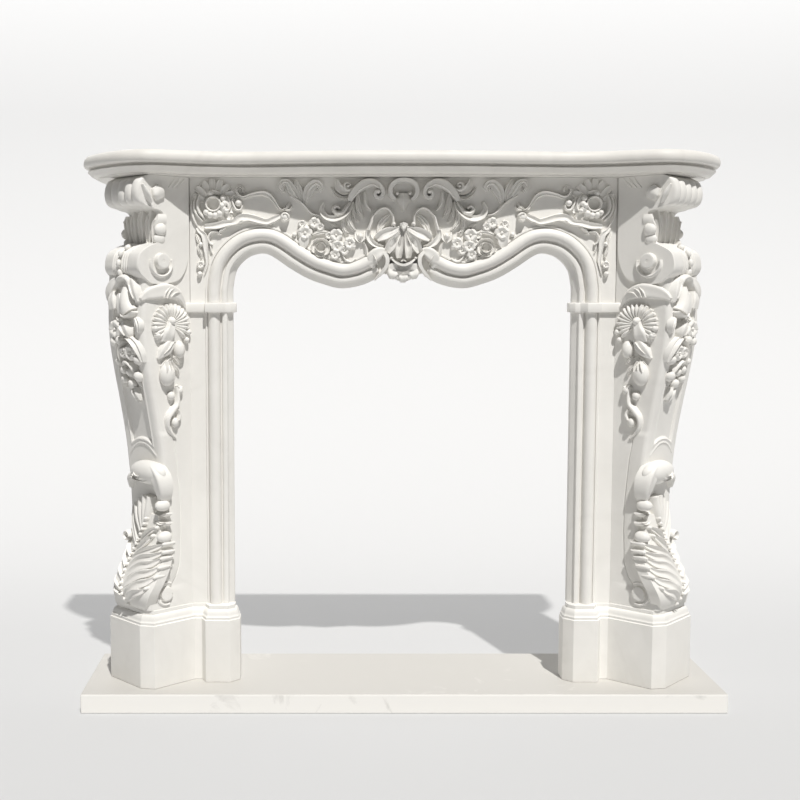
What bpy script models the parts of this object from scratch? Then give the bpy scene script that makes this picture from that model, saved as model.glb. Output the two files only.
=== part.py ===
"""A carved marble fireplace mantel: hearth slab, two plinths, two canted legs, a frieze and a shelf.

Metres, +Z up, +X to the right, +Y back to the wall. The origin is on the floor, below the middle of its box.
"""

import math

import bmesh
import bpy
import numpy as np
from mathutils import Matrix, Vector

MM = 0.001
GAP = 0.0003

# Overall
DEPTH = 0.320
HEARTH_WIDTH = 1.480
HEARTH_THICK = 0.045
HEARTH_EDGE = 0.002
SHELF_WIDTH = 1.500
SHELF_THICK = 0.053

# Plinths and their base moulding
PLINTH_HEIGHT = 0.181
BASE_MOULD_HEIGHT = 0.032
BASE_INSET = 0.014

# Opening and the upright strips beside it
OPENING_HALF = 0.395
STRIP_WIDTH = 0.0985
STRIP_THICK = 0.028
FIELD_BEHIND_HEARTH_EDGE = 0.126
MOULD_WIDTH = 0.063
PLINTH_PROUD = 0.038
PLINTH_CHAMFER = 0.022
PLINTH_STEP = 0.024
CAP_HEIGHT = 0.023
CAP_PROUD = 0.009

# Canted console of each leg: its virtual front corner, its angle and its width
CANT = math.radians(48)
CORNER_OUT = 0.194
CORNER_BEHIND_HEARTH_EDGE = 0.0217
FRONT_WIDTH = 0.154
CORE_DEPTH = 0.070
NOSE_W = 0.0286
NOSE_D = 0.0213
RETURN_OUT = 0.068
RETURN_THICK = 0.038
RETURN_SETBACK = 0.038
LEG_HEIGHT = 0.9957
CAPITAL_PROUD = 0.006
CAPITAL_BOTTOM = 0.755

# Frieze
FRIEZE_DROP_TOP = 0.2864
CROWN_RISE = 0.112
CROWN_OUT = 0.078
CENTRE_RISE = 0.032

# Carving
CARVING_VOXEL = 0.0040
DRAWN_FRONT_WIDTH = 0.154
FRIEZE_TRIANGLES = 1440
LEG_TRIANGLES = 760

WALL_Y = DEPTH / 2
FIELD_Y = FIELD_BEHIND_HEARTH_EDGE - DEPTH / 2
STRIP_BACK_Y = FIELD_Y + STRIP_THICK
PLINTH_Z = HEARTH_THICK + GAP
LEG_Z = PLINTH_Z + PLINTH_HEIGHT + GAP
LEG_TOP = LEG_Z + LEG_HEIGHT
CAP_TOP = LEG_TOP - FRIEZE_DROP_TOP
SHELF_Z = LEG_TOP + GAP
FRIEZE_HALF = OPENING_HALF + STRIP_WIDTH

ALONG_FRONT = Vector((math.cos(CANT), math.sin(CANT), 0))
INWARD = Vector((-math.sin(CANT), math.cos(CANT), 0))
CORNER = Vector((OPENING_HALF + CORNER_OUT, CORNER_BEHIND_HEARTH_EDGE - DEPTH / 2, 0))
RETURN_X = CORNER.x + ALONG_FRONT.x * FRONT_WIDTH - RETURN_SETBACK


def clear_scene():
    for obj in list(bpy.data.objects):
        bpy.data.objects.remove(obj)


def collection(name):
    made = bpy.data.collections.new(name)
    bpy.context.scene.collection.children.link(made)
    return made


def marble(name, tone):
    material = bpy.data.materials.new(name)
    material.use_nodes = True
    shader = material.node_tree.nodes["Principled BSDF"]
    shader.inputs["Base Color"].default_value = (*tone, 1)
    shader.inputs["Roughness"].default_value = 0.42
    shader.inputs["Metallic"].default_value = 0.0
    return material


def smooth_path(points, steps):
    """Points of a Catmull-Rom curve through the given points, steps to each span."""
    p = np.array(points, float)
    p = np.vstack([2 * p[0] - p[1], p, 2 * p[-1] - p[-2]])
    t = np.linspace(0, 1, steps, endpoint=False)[:, None]
    spans = []
    for a, b, c, d in zip(p[:-3], p[1:-2], p[2:-1], p[3:]):
        bend = 2 * a - 5 * b + 4 * c - d
        spans.append(0.5 * (2 * b + (c - a) * t + bend * t**2 + (3 * b - a - 3 * c + d) * t**3))
    return np.vstack(spans + [p[-2]])


def resample(points, count):
    """The path as count points at even distances."""
    p = np.array(points, float)
    run = np.concatenate([[0], np.cumsum(np.linalg.norm(np.diff(p, axis=0), axis=1))])
    at = np.linspace(0, run[-1], count)
    return np.column_stack([np.interp(at, run, p[:, k]) for k in range(p.shape[1])])


def spread(values, count):
    """The values, evenly spaced along a path, read at count places."""
    return np.interp(np.linspace(0, 1, count), np.linspace(0, 1, len(values)), values)


def spiral(centre, start_radius, end_radius, start_deg, turn_deg, count=14):
    """A scroll's line, from the eye outwards when the end radius is the larger."""
    t = np.linspace(0, 1, count)
    angle = np.radians(start_deg + turn_deg * t)
    radius = start_radius * (end_radius / start_radius) ** t
    return [(centre[0] + r * math.cos(a), centre[1] + r * math.sin(a)) for r, a in zip(radius, angle)]


def offset_outline(outline, inset):
    """A closed outline moved inwards by a mitred inset. It runs anticlockwise."""
    p = np.array(outline, float)
    ahead = np.roll(p, -1, axis=0) - p
    ahead /= np.linalg.norm(ahead, axis=1)[:, None]
    behind = np.roll(ahead, 1, axis=0)
    normal = np.column_stack([-ahead[:, 1] - behind[:, 1], ahead[:, 0] + behind[:, 0]])
    share = np.maximum((1 + (ahead * behind).sum(1)), 0.3)
    return p + inset * normal / share[:, None]


def stack(name, rings):
    """A closed body through rings of equal point count: a flat face that is extruded from ring to ring."""
    bm = bmesh.new()
    first = [bm.verts.new(co) for co in rings[0]]
    face = bm.faces.new(first)
    for ring in rings[1:]:
        face = bmesh.ops.extrude_discrete_faces(bm, faces=[face])["faces"][0]
        for vert, co in zip(face.verts, ring):
            vert.co = co
    bm.faces.new(list(reversed(first)))
    bmesh.ops.recalc_face_normals(bm, faces=bm.faces)
    return finish(name, bm)


def finish(name, bm):
    mesh = bpy.data.meshes.new(name)
    bm.to_mesh(mesh)
    bm.free()
    return bpy.data.objects.new(name, mesh)


def at_level(outline, z):
    return [(x, y, z) for x, y in outline]


def evaluated_mesh(obj):
    bpy.context.view_layer.update()
    graph = bpy.context.evaluated_depsgraph_get()
    mesh = bpy.data.meshes.new_from_object(obj.evaluated_get(graph))
    mesh.name = obj.name
    return mesh


def outer_shell(name, mesh):
    """The mesh without the small pockets that a join closes in."""
    bm = bmesh.new()
    bm.from_mesh(mesh)
    left = set(bm.verts)
    shells = []
    while left:
        shell = {left.pop()}
        edge = list(shell)
        while edge:
            near = {e.other_vert(v) for v in edge for e in v.link_edges} & left
            left -= near
            shell |= near
            edge = list(near)
        shells.append(shell)
    shells.sort(key=len)
    small = [v for shell in shells[:-1] for v in shell]
    bmesh.ops.delete(bm, geom=small, context="VERTS")
    return finish(name, bm)


def union(body, others):
    for other in others:
        join = body.modifiers.new("join " + other.name, "BOOLEAN")
        join.operation = "UNION"
        join.solver = "EXACT"
        join.use_self = True
        join.object = other


# Carving: every leaf, stem, petal and bead is a blade or a knob, placed on a face of the stone


class Carving:
    """Carved pieces that lie on one face. place(u, v, height) gives the point above that face."""

    def __init__(self, place, sink):
        self.bm = bmesh.new()
        self.place = place
        self.sink = sink

    def blade(self, path, widths, heights, form="round", along=9, across=4):
        """A tapering strip along a path, in mm: a stem, a lobe or a leaf, by its cross form."""
        line = resample(smooth_path(path, 6), along + 1)
        ahead = np.gradient(line, axis=0)
        ahead /= np.maximum(np.linalg.norm(ahead, axis=1), 1e-9)[:, None]
        width = spread(widths, along + 1)
        height = spread(heights, along + 1)
        made = bmesh.ops.create_grid(self.bm, x_segments=along, y_segments=across, size=1)
        verts = made["verts"]
        share = [((v.co.x + 1) / 2, v.co.y) for v in verts]
        faces = list({f for v in verts for f in v.link_faces})
        under = bmesh.ops.extrude_face_region(self.bm, geom=faces)["geom"]
        below = [v for v in under if isinstance(v, bmesh.types.BMVert)]
        at = [((v.co.x + 1) / 2, v.co.y) for v in below]
        for group, shares, top in ((verts, share, True), (below, at, False)):
            for vert, (t, s) in zip(group, shares):
                k = round(t * along)
                side = s * width[k]
                u = line[k][0] - ahead[k][1] * side
                v = line[k][1] + ahead[k][0] * side
                level = height[k] * FORMS[form](s) if top else -self.sink
                vert.co = self.place(u * MM, v * MM, level * MM)

    def knob(self, centre, radius, height, stretch=1.0, segments=8):
        """A bead, berry or bud: a squashed ball."""
        made = bmesh.ops.create_uvsphere(self.bm, u_segments=segments, v_segments=5, radius=1)
        waist = height * 0.3
        for vert in made["verts"]:
            u = centre[0] + vert.co.x * radius
            v = centre[1] + vert.co.y * radius * stretch
            reach = height - waist if vert.co.z > 0 else waist + self.sink
            vert.co = self.place(u * MM, v * MM, (waist + vert.co.z * reach) * MM)

    def flower(self, centre, radius, height, petals=5, turn=0.0):
        """An open flower: cupped petals round a small eye."""
        for k in range(petals):
            angle = turn + 2 * math.pi * k / petals
            out = (math.cos(angle), math.sin(angle))
            near = (centre[0] + out[0] * radius * 0.15, centre[1] + out[1] * radius * 0.15)
            middle = (centre[0] + out[0] * radius * 0.6, centre[1] + out[1] * radius * 0.6)
            far = (centre[0] + out[0] * radius, centre[1] + out[1] * radius)
            wide = radius * math.sin(math.pi / petals)
            widths = (wide * 0.4, wide * 1.05, wide * 0.7)
            self.blade((near, middle, far), widths, (height * 0.6, height, height * 0.5), "cup", 4, 4)
        self.knob(centre, radius * 0.26, height * 0.95)

    def fan(self, centre, radius, height, first_deg, last_deg, ribs, stretch=1.0):
        """A shell: ribs spread round a point."""
        for k in range(ribs):
            angle = math.radians(first_deg + (last_deg - first_deg) * k / (ribs - 1))
            out = (math.cos(angle), math.sin(angle) * stretch)
            wide = radius * abs(math.radians(last_deg - first_deg)) / (ribs - 1) / 2 * 1.08
            runs = (radius * 0.2, radius * 0.6, radius)
            path = [(centre[0] + out[0] * run, centre[1] + out[1] * run) for run in runs]
            widths = (wide * 0.35, wide * 0.75, wide * 0.8)
            self.blade(path, widths, (height * 0.6, height, height * 0.7), "round", 4, 2)

    def object(self, name):
        bmesh.ops.recalc_face_normals(self.bm, faces=self.bm.faces)
        return finish(name, self.bm)


FORMS = {
    "round": lambda s: math.sqrt(max(1 - s * s, 0.0)),
    "cup": lambda s: (0.62 + 0.38 * abs(s) ** 1.5) * (1 if abs(s) < 0.99 else 0.35),
    "ridge": lambda s: 1 - 0.75 * abs(s),
}


def fused(name, pieces, triangles, helpers, mirrored=False):
    """Carved pieces as one closed skin, with few enough triangles for a solid."""
    bm = bmesh.new()
    for piece in pieces:
        bm.from_mesh(piece.data)
        bpy.data.objects.remove(piece)
    obj = finish(name, bm)
    helpers.objects.link(obj)
    if mirrored:
        mirror = obj.modifiers.new("other side", "MIRROR")
        mirror.use_mirror_merge = False
    skin = obj.modifiers.new("one skin", "REMESH")
    skin.mode = "VOXEL"
    skin.voxel_size = CARVING_VOXEL
    found = len(evaluated_mesh(obj).polygons) * 2
    fewer = obj.modifiers.new("fewer faces", "DECIMATE")
    fewer.ratio = min(1.0, triangles / found)
    obj.hide_render = True
    obj.display_type = "WIRE"
    return obj


# Hearth, plinths and shelf


def hearth_slab():
    bpy.ops.mesh.primitive_cube_add(size=1)
    obj = bpy.context.object
    obj.name = "hearth_slab"
    obj.data.transform(Matrix.Diagonal((HEARTH_WIDTH, DEPTH, HEARTH_THICK, 1)))
    obj.data.transform(Matrix.Translation((0, 0, HEARTH_THICK / 2)))
    edge = obj.modifiers.new("eased edges", "BEVEL")
    edge.width = HEARTH_EDGE
    edge.segments = 1
    return obj


def console_point(w, d):
    """A plan point of the right-hand console: w along its front, d inwards from it."""
    p = CORNER + ALONG_FRONT * w + INWARD * d
    return (p.x, p.y)


def where_side_meets_x(w, x):
    """The depth d at which the console's side at w reaches the plan line x."""
    return (CORNER.x + ALONG_FRONT.x * w - x) / -INWARD.x


def plinth_outline():
    """The right plinth's plan, anticlockwise from the back of the opening."""
    proud_x = OPENING_HALF + MOULD_WIDTH + 0.003
    inner_x = OPENING_HALF - BASE_INSET
    front_y = FIELD_Y - PLINTH_PROUD
    recess_y = front_y + PLINTH_STEP
    recess_d = (recess_y - CORNER.y) / INWARD.y
    return [
        (inner_x, STRIP_BACK_Y),
        (inner_x, front_y + PLINTH_CHAMFER),
        (inner_x + PLINTH_CHAMFER, front_y),
        (proud_x, front_y),
        (proud_x + 0.010, recess_y),
        console_point(0, recess_d),
        console_point(0, NOSE_D),
        console_point(NOSE_W, 0),
        console_point(FRONT_WIDTH, 0),
        console_point(FRONT_WIDTH, where_side_meets_x(FRONT_WIDTH, RETURN_X)),
        (RETURN_X, WALL_Y),
        (RETURN_X - RETURN_OUT, WALL_Y),
        (RETURN_X - RETURN_OUT, STRIP_BACK_Y),
    ]


def plinth(name):
    """A block with a fillet, a cove and a top fillet, all following its plan."""
    outline = plinth_outline()
    mould_z = PLINTH_Z + PLINTH_HEIGHT - BASE_MOULD_HEIGHT
    steps = [(0, PLINTH_Z), (0, mould_z - 0.002), (0.0025, mould_z), (0.0025, mould_z + 0.006)]
    cove = BASE_MOULD_HEIGHT - 0.015
    for k in range(1, 4):
        angle = math.radians(90 * k / 3)
        steps.append((0.0045 + 0.0075 * (1 - math.cos(angle)), mould_z + 0.006 + cove * math.sin(angle)))
    steps += [(BASE_INSET, mould_z + 0.0085 + cove), (BASE_INSET, PLINTH_Z + PLINTH_HEIGHT)]
    return stack(name, [at_level(offset_outline(outline, inset), z) for inset, z in steps])


def shelf_outline():
    """The shelf's plan at its widest, anticlockwise: a bowed middle, hollow sides and canted ends."""
    half = SHELF_WIDTH / 2
    corner = CORNER.x - BASE_INSET
    front = CORNER.y - 0.0127
    right = smooth_path(
        [
            (0.0, front + 0.022),
            (0.097, front + 0.023),
            (0.185, front + 0.032),
            (0.29, front + 0.046),
            (0.37, front + 0.052),
            (0.44, front + 0.044),
            (0.51, front + 0.020),
            (corner, front),
            (corner + 0.060, front + 0.020),
            (corner + 0.110, front + 0.066),
            (half - 0.037, front + 0.103),
            (half - 0.012, front + 0.145),
            (half, front + 0.190),
        ],
        2,
    )[1:]
    left = [(-x, y) for x, y in right[::-1]]
    return [(-half, WALL_Y)] + left + [(0.0, front + 0.022)] + [tuple(p) for p in right] + [(half, WALL_Y)]


def shelf():
    """An ogee member, a groove and a bullnose member, worked round the front and the ends of one slab."""
    outline = shelf_outline()
    lower = [(0.034, 0.0), (0.032, 0.004), (0.016, 0.009), (0.010, 0.018), (0.017, 0.019)]
    upper = [(0.017, 0.024), (0.004, 0.025), (0.0, 0.036), (0.003, 0.047), (0.010, SHELF_THICK)]
    rings = []
    for inset, rise in lower + upper:
        ring = offset_outline(outline, inset)
        ring[:, 1] = np.where(np.array(outline)[:, 1] > WALL_Y - 1e-6, WALL_Y, ring[:, 1])
        rings.append(at_level(ring, SHELF_Z + rise))
    return stack("shelf", rings)


# Legs

# Front line of the console, as (share of the leg's height, depth behind the corner)
FRONT_LINE = [
    (0.000, 0.011),
    (0.034, 0.005),
    (0.050, 0.012),
    (0.060, 0.034),
    (0.088, 0.051),
    (0.127, 0.059),
    (0.185, 0.061),
    (0.252, 0.060),
    (0.322, 0.055),
    (0.399, 0.046),
    (0.483, 0.031),
    (0.553, 0.017),
    (0.627, 0.005),
    (0.700, 0.003),
    (0.800, 0.008),
]


def front_depth(share):
    """Depth of the console's front at a share of the leg's height."""
    line = smooth_path(FRONT_LINE, 4)
    return float(np.interp(share, line[:, 0], line[:, 1]))


def back_depth(w):
    """How deep the console may run at w before it leaves the stone of the strip and the return."""
    at_strip_back = (STRIP_BACK_Y - CORNER.y - ALONG_FRONT.y * w) / INWARD.y
    return max(at_strip_back, where_side_meets_x(w, RETURN_X - BASE_INSET - RETURN_THICK)) - 0.001


def console_shaft():
    """The console from its foot to under the capital, with facets, a raised border and a sunk panel."""
    w0 = BASE_INSET
    w1 = FRONT_WIDTH - BASE_INSET
    rings = []
    for share, _ in FRONT_LINE:
        depth = front_depth(share)
        sunk = 0.004 * max(0.0, min(1.0, (share - 0.36) * 12, (0.74 - share) * 12))
        back = where_side_meets_x(w0, FRIEZE_HALF) - 0.0015
        section = [
            (w0, back),
            (w0, depth + 0.013),
            (w0 + 0.018, depth + 0.003),
            (w0 + 0.028, depth + 0.002),
            (w0 + 0.032, depth + 0.002 + sunk),
            (w1 - 0.028, depth - 0.007 + sunk),
            (w1 - 0.024, depth - 0.007),
            (w1 - 0.010, depth - 0.009),
            (w1, depth - 0.004),
            (w1, CORE_DEPTH + 0.005),
        ]
        rings.append(at_level([console_point(w, d) for w, d in section], LEG_Z + share * LEG_HEIGHT))
    return stack("console shaft", rings)


def capital_outline():
    """Side outline of the capital as (depth, rise above its foot): two rolls and a hollow neck."""
    low = [
        (0.010, 0.012),
        (-0.007, 0.028),
        (-0.010, 0.046),
        (-0.002, 0.070),
        (0.024, 0.086),
        (0.056, 0.098),
        (0.065, 0.126),
        (0.060, 0.162),
        (0.030, 0.171),
        (0.000, 0.180),
        (-0.009, 0.204),
        (-0.002, 0.230),
        (0.014, 0.241),
    ]
    top = LEG_HEIGHT - CAPITAL_BOTTOM * LEG_HEIGHT
    back = where_side_meets_x(BASE_INSET - CAPITAL_PROUD, FRIEZE_HALF) - 0.001
    scale = top / 0.2439
    front = [(d, rise * scale) for d, rise in low]
    foot = [
        (back, 0.082),
        (back - 0.004, 0.052),
        (back - 0.016, 0.024),
        (back - 0.034, 0.008),
        (0.060, 0.001),
        (0.034, 0.001),
    ]
    return [(d, rise * scale) for d, rise in foot] + front + [(0.024, top), (back, top)]


def capital():
    """The scrolled head of the console, its rolls cut with flutes across the front."""
    outline = capital_outline()
    w0 = BASE_INSET - CAPITAL_PROUD
    w1 = FRONT_WIDTH - BASE_INSET + CAPITAL_PROUD
    flutes = 5
    base_z = LEG_Z + CAPITAL_BOTTOM * LEG_HEIGHT
    rings = []
    for k in range(2 * flutes + 1):
        w = w0 + (w1 - w0) * k / (2 * flutes)
        cut = 0.0 if k % 2 else 0.005
        if k in (0, 2 * flutes):
            cut = 0.002
        ring = []
        for d, rise in outline:
            depth = d + cut * (d < 0.03) * (0.01 < rise < 0.235)
            x, y = console_point(w, min(depth, back_depth(w)))
            ring.append((x, y, base_z + rise))
        rings.append(ring)
    return stack("capital", rings)


def mould_section():
    """Section of the moulding round the opening, as (distance from the opening, height above the field)."""
    torus = []
    for k in range(5):
        angle = math.pi * (1 - k / 4)
        torus.append((0.043 + 0.014 * math.cos(angle), 0.002 + 0.015 * math.sin(angle)))
    bead = [(0.0125, -0.001), (0.0155, 0.006), (0.0225, 0.006), (0.0255, 0.001)]
    return [(0.0, -0.014), (0.009, -0.006)] + bead + torus + [(0.0585, 0.004), (MOULD_WIDTH, 0.004)]


def upright_strip():
    """The strip beside the opening, from plinth to cap: torus, bead and a plain field."""
    side_x, side_y = console_point(BASE_INSET, where_side_meets_x(BASE_INSET, FRIEZE_HALF + 0.03))
    section = [(OPENING_HALF + s, FIELD_Y - h) for s, h in mould_section()]
    outline = [(OPENING_HALF, STRIP_BACK_Y)] + section
    outline += [(OPENING_HALF + MOULD_WIDTH + 0.001, FIELD_Y), (side_x, FIELD_Y), (side_x, STRIP_BACK_Y)]
    return stack("upright strip", [at_level(outline, LEG_Z), at_level(outline, CAP_TOP - CAP_HEIGHT / 2)])


def strip_cap():
    """The small cap that the frieze's drop stands on."""
    step = OPENING_HALF + MOULD_WIDTH
    front = FIELD_Y - CAP_PROUD - 0.016
    inner = OPENING_HALF - 0.008
    low = CAP_TOP - CAP_HEIGHT
    outline = [
        (inner, STRIP_BACK_Y),
        (inner, front + 0.030),
        (inner + 0.012, front + 0.018),
        (inner + 0.024, front + 0.016),
        (inner + 0.038, front),
        (step, front),
        (step + 0.002, FIELD_Y - CAP_PROUD),
        (FRIEZE_HALF + 0.02, FIELD_Y - CAP_PROUD),
        (FRIEZE_HALF + 0.02, STRIP_BACK_Y),
    ]
    small = offset_outline(outline, 0.0015)
    small[:, 1] = np.minimum(small[:, 1], STRIP_BACK_Y)
    rings = [(small, low), (outline, low + 0.0015), (outline, CAP_TOP - 0.0015), (small, CAP_TOP - GAP)]
    return stack("strip cap", [at_level(ring, z) for ring, z in rings])


def leg_core():
    """The backbone behind the console, with the return that runs back to the wall."""
    w0 = BASE_INSET + 0.001
    w1 = FRONT_WIDTH - BASE_INSET - 0.001
    inner_x = FRIEZE_HALF + 0.0008
    panel_x = RETURN_X - BASE_INSET
    side_d = where_side_meets_x(w0, inner_x)
    outer_d = where_side_meets_x(w1, panel_x)
    outline = [
        (inner_x, STRIP_BACK_Y - 0.0005),
        console_point(w0, side_d),
        console_point(w0, CORE_DEPTH),
        console_point(w1, CORE_DEPTH),
        console_point(w1, max(outer_d, CORE_DEPTH + 0.002)),
        (panel_x, WALL_Y),
        (panel_x - RETURN_THICK, WALL_Y),
        (panel_x - RETURN_THICK, STRIP_BACK_Y - 0.0005),
    ]
    return stack("leg core", [at_level(outline, LEG_Z), at_level(outline, LEG_TOP)])


def leg_scale(share):
    """Millimetres above the leg's foot, from a share of the leg's height."""
    return share * LEG_HEIGHT / MM


def on_front(u, v, height):
    """u along the front as drawn, v up from the leg's foot, height out from the face."""
    w = u * FRONT_WIDTH / DRAWN_FRONT_WIDTH
    tilt = 0.003 - 0.010 * (w - BASE_INSET) / (FRONT_WIDTH - 2 * BASE_INSET)
    depth = front_depth(v / LEG_HEIGHT) + tilt - height
    return (*console_point(w, depth), LEG_Z + v)


def on_side(u, v, height):
    """u inwards along the console's side, v up from the leg's foot, height out from the face."""
    return (*console_point(BASE_INSET - height, u), LEG_Z + v)


def on_neck(u, v, height):
    """u along the front as drawn, v up from the leg's foot, height out from the capital's neck."""
    w = u * FRONT_WIDTH / DRAWN_FRONT_WIDTH
    return (*console_point(w, 0.066 - height), LEG_Z + v)


def foot_leaf():
    """The acanthus at the foot: a midrib, side lobes that fan out and up, and a tip that curls over."""
    art = Carving(on_front, 6)
    middle = DRAWN_FRONT_WIDTH / 2 / MM
    rib = [(middle, leg_scale(s)) for s in (0.012, 0.06, 0.12, 0.20, 0.28)]
    art.blade(rib, (9, 10, 9, 7, 5), (14, 34, 44, 24, 14), "round", 10, 4)
    for side in (-1, 1):
        for k in range(7):
            root = leg_scale(0.015 + 0.034 * k)
            reach = (56, 66, 68, 62, 52, 42, 34)[k]
            rise = (2, 18, 34, 44, 48, 46, 40)[k]
            tall = (10, 26, 34, 34, 24, 16, 12)[k]
            path = [
                (middle + side * 4, root),
                (middle + side * reach * 0.55, root + rise * 0.35),
                (middle + side * reach, root + rise),
            ]
            art.blade(path, (7, 12, 6), (tall * 0.9, tall, tall * 0.45), "ridge", 6, 4)
    tip = [(middle, leg_scale(0.27)), (middle, leg_scale(0.305)), (middle, leg_scale(0.335))]
    art.blade(tip, (26, 36, 20), (14, 30, 16), "round", 6, 6)
    for side in (-1, 1):
        art.knob((middle + side * 44, leg_scale(0.245)), 12, 14)
        art.knob((middle + side * 48, leg_scale(0.185)), 12, 14)
    return art.object("foot leaf")


def front_garland():
    """Bellflower, leaves, open flowers and buds that hang down the console's knee."""
    art = Carving(on_front, 5)
    middle = DRAWN_FRONT_WIDTH / 2 / MM - 4
    for lean in (-1, 0, 1):
        line = ((3, 0.752), (9, 0.715), (15, 0.688))
        bell = [(middle + out * lean, leg_scale(share)) for out, share in line]
        art.blade(bell, (6, 8, 10), (14, 18, 15), "round", 5, 4)
    for side in (-1, 1):
        line = ((8, 0.765), (32, 0.758), (42, 0.72))
        leaf = [(middle + out * side, leg_scale(share)) for out, share in line]
        art.blade(leaf, (6, 11, 4), (10, 14, 8), "cup", 6, 4)
    blooms = [
        (-26, 0.655, 19),
        (32, 0.650, 18),
        (-36, 0.615, 15),
        (-6, 0.598, 19),
        (26, 0.610, 16),
        (8, 0.555, 17),
        (-12, 0.530, 14),
    ]
    for k, (out, share, radius) in enumerate(blooms):
        art.flower((middle + out, leg_scale(share)), radius, 15, 5, 0.5 * k)
    art.knob((middle - 8, leg_scale(0.497)), 8, 12, 1.6)
    art.knob((middle - 4, leg_scale(0.468)), 6, 9, 1.8)
    return art.object("front garland")


def side_cluster():
    """Shell under a leaf hood, tongue, fruit and a curled tail on the console's side."""
    art = Carving(on_side, 4)
    v = leg_scale
    hood = [(128, v(0.700)), (116, v(0.735)), (86, v(0.752)), (52, v(0.735)), (26, v(0.708))]
    art.blade(hood, (4, 14, 18, 13, 4), (8, 14, 16, 13, 6), "round", 10, 5)
    art.fan((84, v(0.655)), 46, 11, -20, 200, 11)
    art.blade([(84, v(0.665)), (86, v(0.635)), (62, v(0.590))], (8, 9, 12), (17, 18, 12), "round", 6, 4)
    art.blade([(84, v(0.655)), (66, v(0.632)), (50, v(0.625))], (6, 7, 4), (15, 14, 8), "round", 5, 4)
    art.knob((114, v(0.602)), 18, 20, 1.15)
    art.knob((74, v(0.545)), 20, 22, 1.1)
    art.flower((98, v(0.570)), 20, 13, 5)
    art.knob((106, v(0.528)), 9, 12)
    tail = [(99, v(0.505)), (86, v(0.475)), (80, v(0.452)), (92, v(0.437)), (104, v(0.445)), (99, v(0.460))]
    art.blade(tail, (5, 7, 7, 6, 5, 4), (10, 12, 12, 12, 11, 9), "round", 12, 4)
    return art.object("side cluster")


def scroll_eyes():
    """Raised eyes of the scrolls on the side face, of the capital and of the foot."""
    art = Carving(on_side, 4)
    art.knob((56, leg_scale(0.802)), 18, 14, segments=12)
    art.knob((68, leg_scale(0.034)), 18, 9, segments=12)
    art.knob((44, leg_scale(0.962)), 20, 15, 0.85, 12)
    return art.object("scroll eyes")


def neck_shell():
    """Upright shell lobes in the capital's hollow neck."""
    art = Carving(on_neck, 5)
    for k in range(5):
        w = 24 + 27 * k
        flare = (k - 2) * 3
        path = [(w - flare, leg_scale(0.842)), (w, leg_scale(0.88)), (w + flare, leg_scale(0.915))]
        art.blade(path, (9, 12, 13), (12, 13, 10), "round", 5, 4)
    return art.object("neck shell")


def right_leg(helpers):
    """Console, capital, strip, cap and return as one stone, with its carving joined on."""
    body = leg_core()
    parts = [console_shaft(), capital(), upright_strip(), strip_cap()]
    for part in parts:
        helpers.objects.link(part)
        part.hide_render = True
        part.display_type = "WIRE"
    pieces = [foot_leaf(), front_garland(), side_cluster(), scroll_eyes(), neck_shell()]
    carving = fused("leg carving", pieces, LEG_TRIANGLES, helpers)
    union(body, parts + [carving])
    helpers.objects.link(body)
    mesh = evaluated_mesh(body)
    bpy.data.objects.remove(body)
    return outer_shell("leg_right", mesh)


def mirrored_copy(name, source):
    """The same piece on the other side of the middle."""
    mesh = source.data.copy()
    mesh.name = name
    mesh.transform(Matrix.Diagonal((-1, 1, 1, 1)))
    mesh.flip_normals()
    return bpy.data.objects.new(name, mesh)


# Frieze


def opening_line():
    """The opening's edge on the right, as (x, z): up the drop, over the crown, down to the middle."""
    foot = CAP_TOP
    crown = foot + CROWN_RISE
    low = foot + CENTRE_RISE
    x = OPENING_HALF
    points = [
        (x, foot + 0.033),
        (x - 0.008, foot + 0.072),
        (x - 0.027, crown - 0.015),
        (x - CROWN_OUT + 0.026, crown - 0.001),
        (x - CROWN_OUT - 0.006, crown - 0.001),
        (x - 0.132, crown - 0.032),
        (x - 0.170, crown - 0.054),
        (x - 0.206, low + 0.012),
        (x - 0.252, low + 0.001),
        (x - 0.302, low + 0.009),
        (x - 0.345, low + 0.029),
    ]
    return np.vstack([[(x, foot)], smooth_path(points, 2)])


def frieze_slab():
    """The plain board of the frieze, from the drops to the shelf, cut to the opening's line."""
    line = opening_line()
    ahead = np.gradient(line, axis=0)
    ahead /= np.linalg.norm(ahead, axis=1)[:, None]
    inner = line + 0.03 * np.column_stack([ahead[:, 1], -ahead[:, 0]])
    right = [(x, z) for x, z in inner if x > 0.11]
    half = [(FRIEZE_HALF - GAP, CAP_TOP)] + [(right[0][0], CAP_TOP)] + right[1:]
    half += [(0.085, CAP_TOP + CENTRE_RISE + 0.04), (0.020, CAP_TOP + CENTRE_RISE + 0.03)]
    outline = half + [(-x, z) for x, z in reversed(half)]
    outline += [(-FRIEZE_HALF + GAP, LEG_TOP), (FRIEZE_HALF - GAP, LEG_TOP)]
    front = [(x, FIELD_Y, z) for x, z in outline]
    back = [(x, STRIP_BACK_Y, z) for x, z in outline]
    return stack("frieze board", [front, back])


def opening_mould(side):
    """The moulding swept along the opening's line, from the drop's foot to its scroll by the middle."""
    line = opening_line()
    ahead = np.gradient(line, axis=0)
    ahead /= np.linalg.norm(ahead, axis=1)[:, None]
    out = np.column_stack([ahead[:, 1], -ahead[:, 0]])
    out[0] = (1, 0)
    section = [(s, -h) for s, h in mould_section()]
    thick = STRIP_BACK_Y - FIELD_Y
    section += [(MOULD_WIDTH, 0.010), (0.034, 0.012), (0.034, thick), (0.0, thick)]
    rings = []
    for (x, z), normal in zip(line, out):
        rings.append([(side * (x + normal[0] * s), FIELD_Y + h, z + normal[1] * s) for s, h in section])
    return stack("opening mould", rings)


def on_frieze(u, v, height):
    """u to the right, v below the frieze's top edge as a negative number, height out from the field."""
    return (u, FIELD_Y - height, LEG_TOP + min(v, -CARVING_VOXEL))


def anchored(points, u, v):
    return [(u + a, v + b) for a, b in points]


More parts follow.
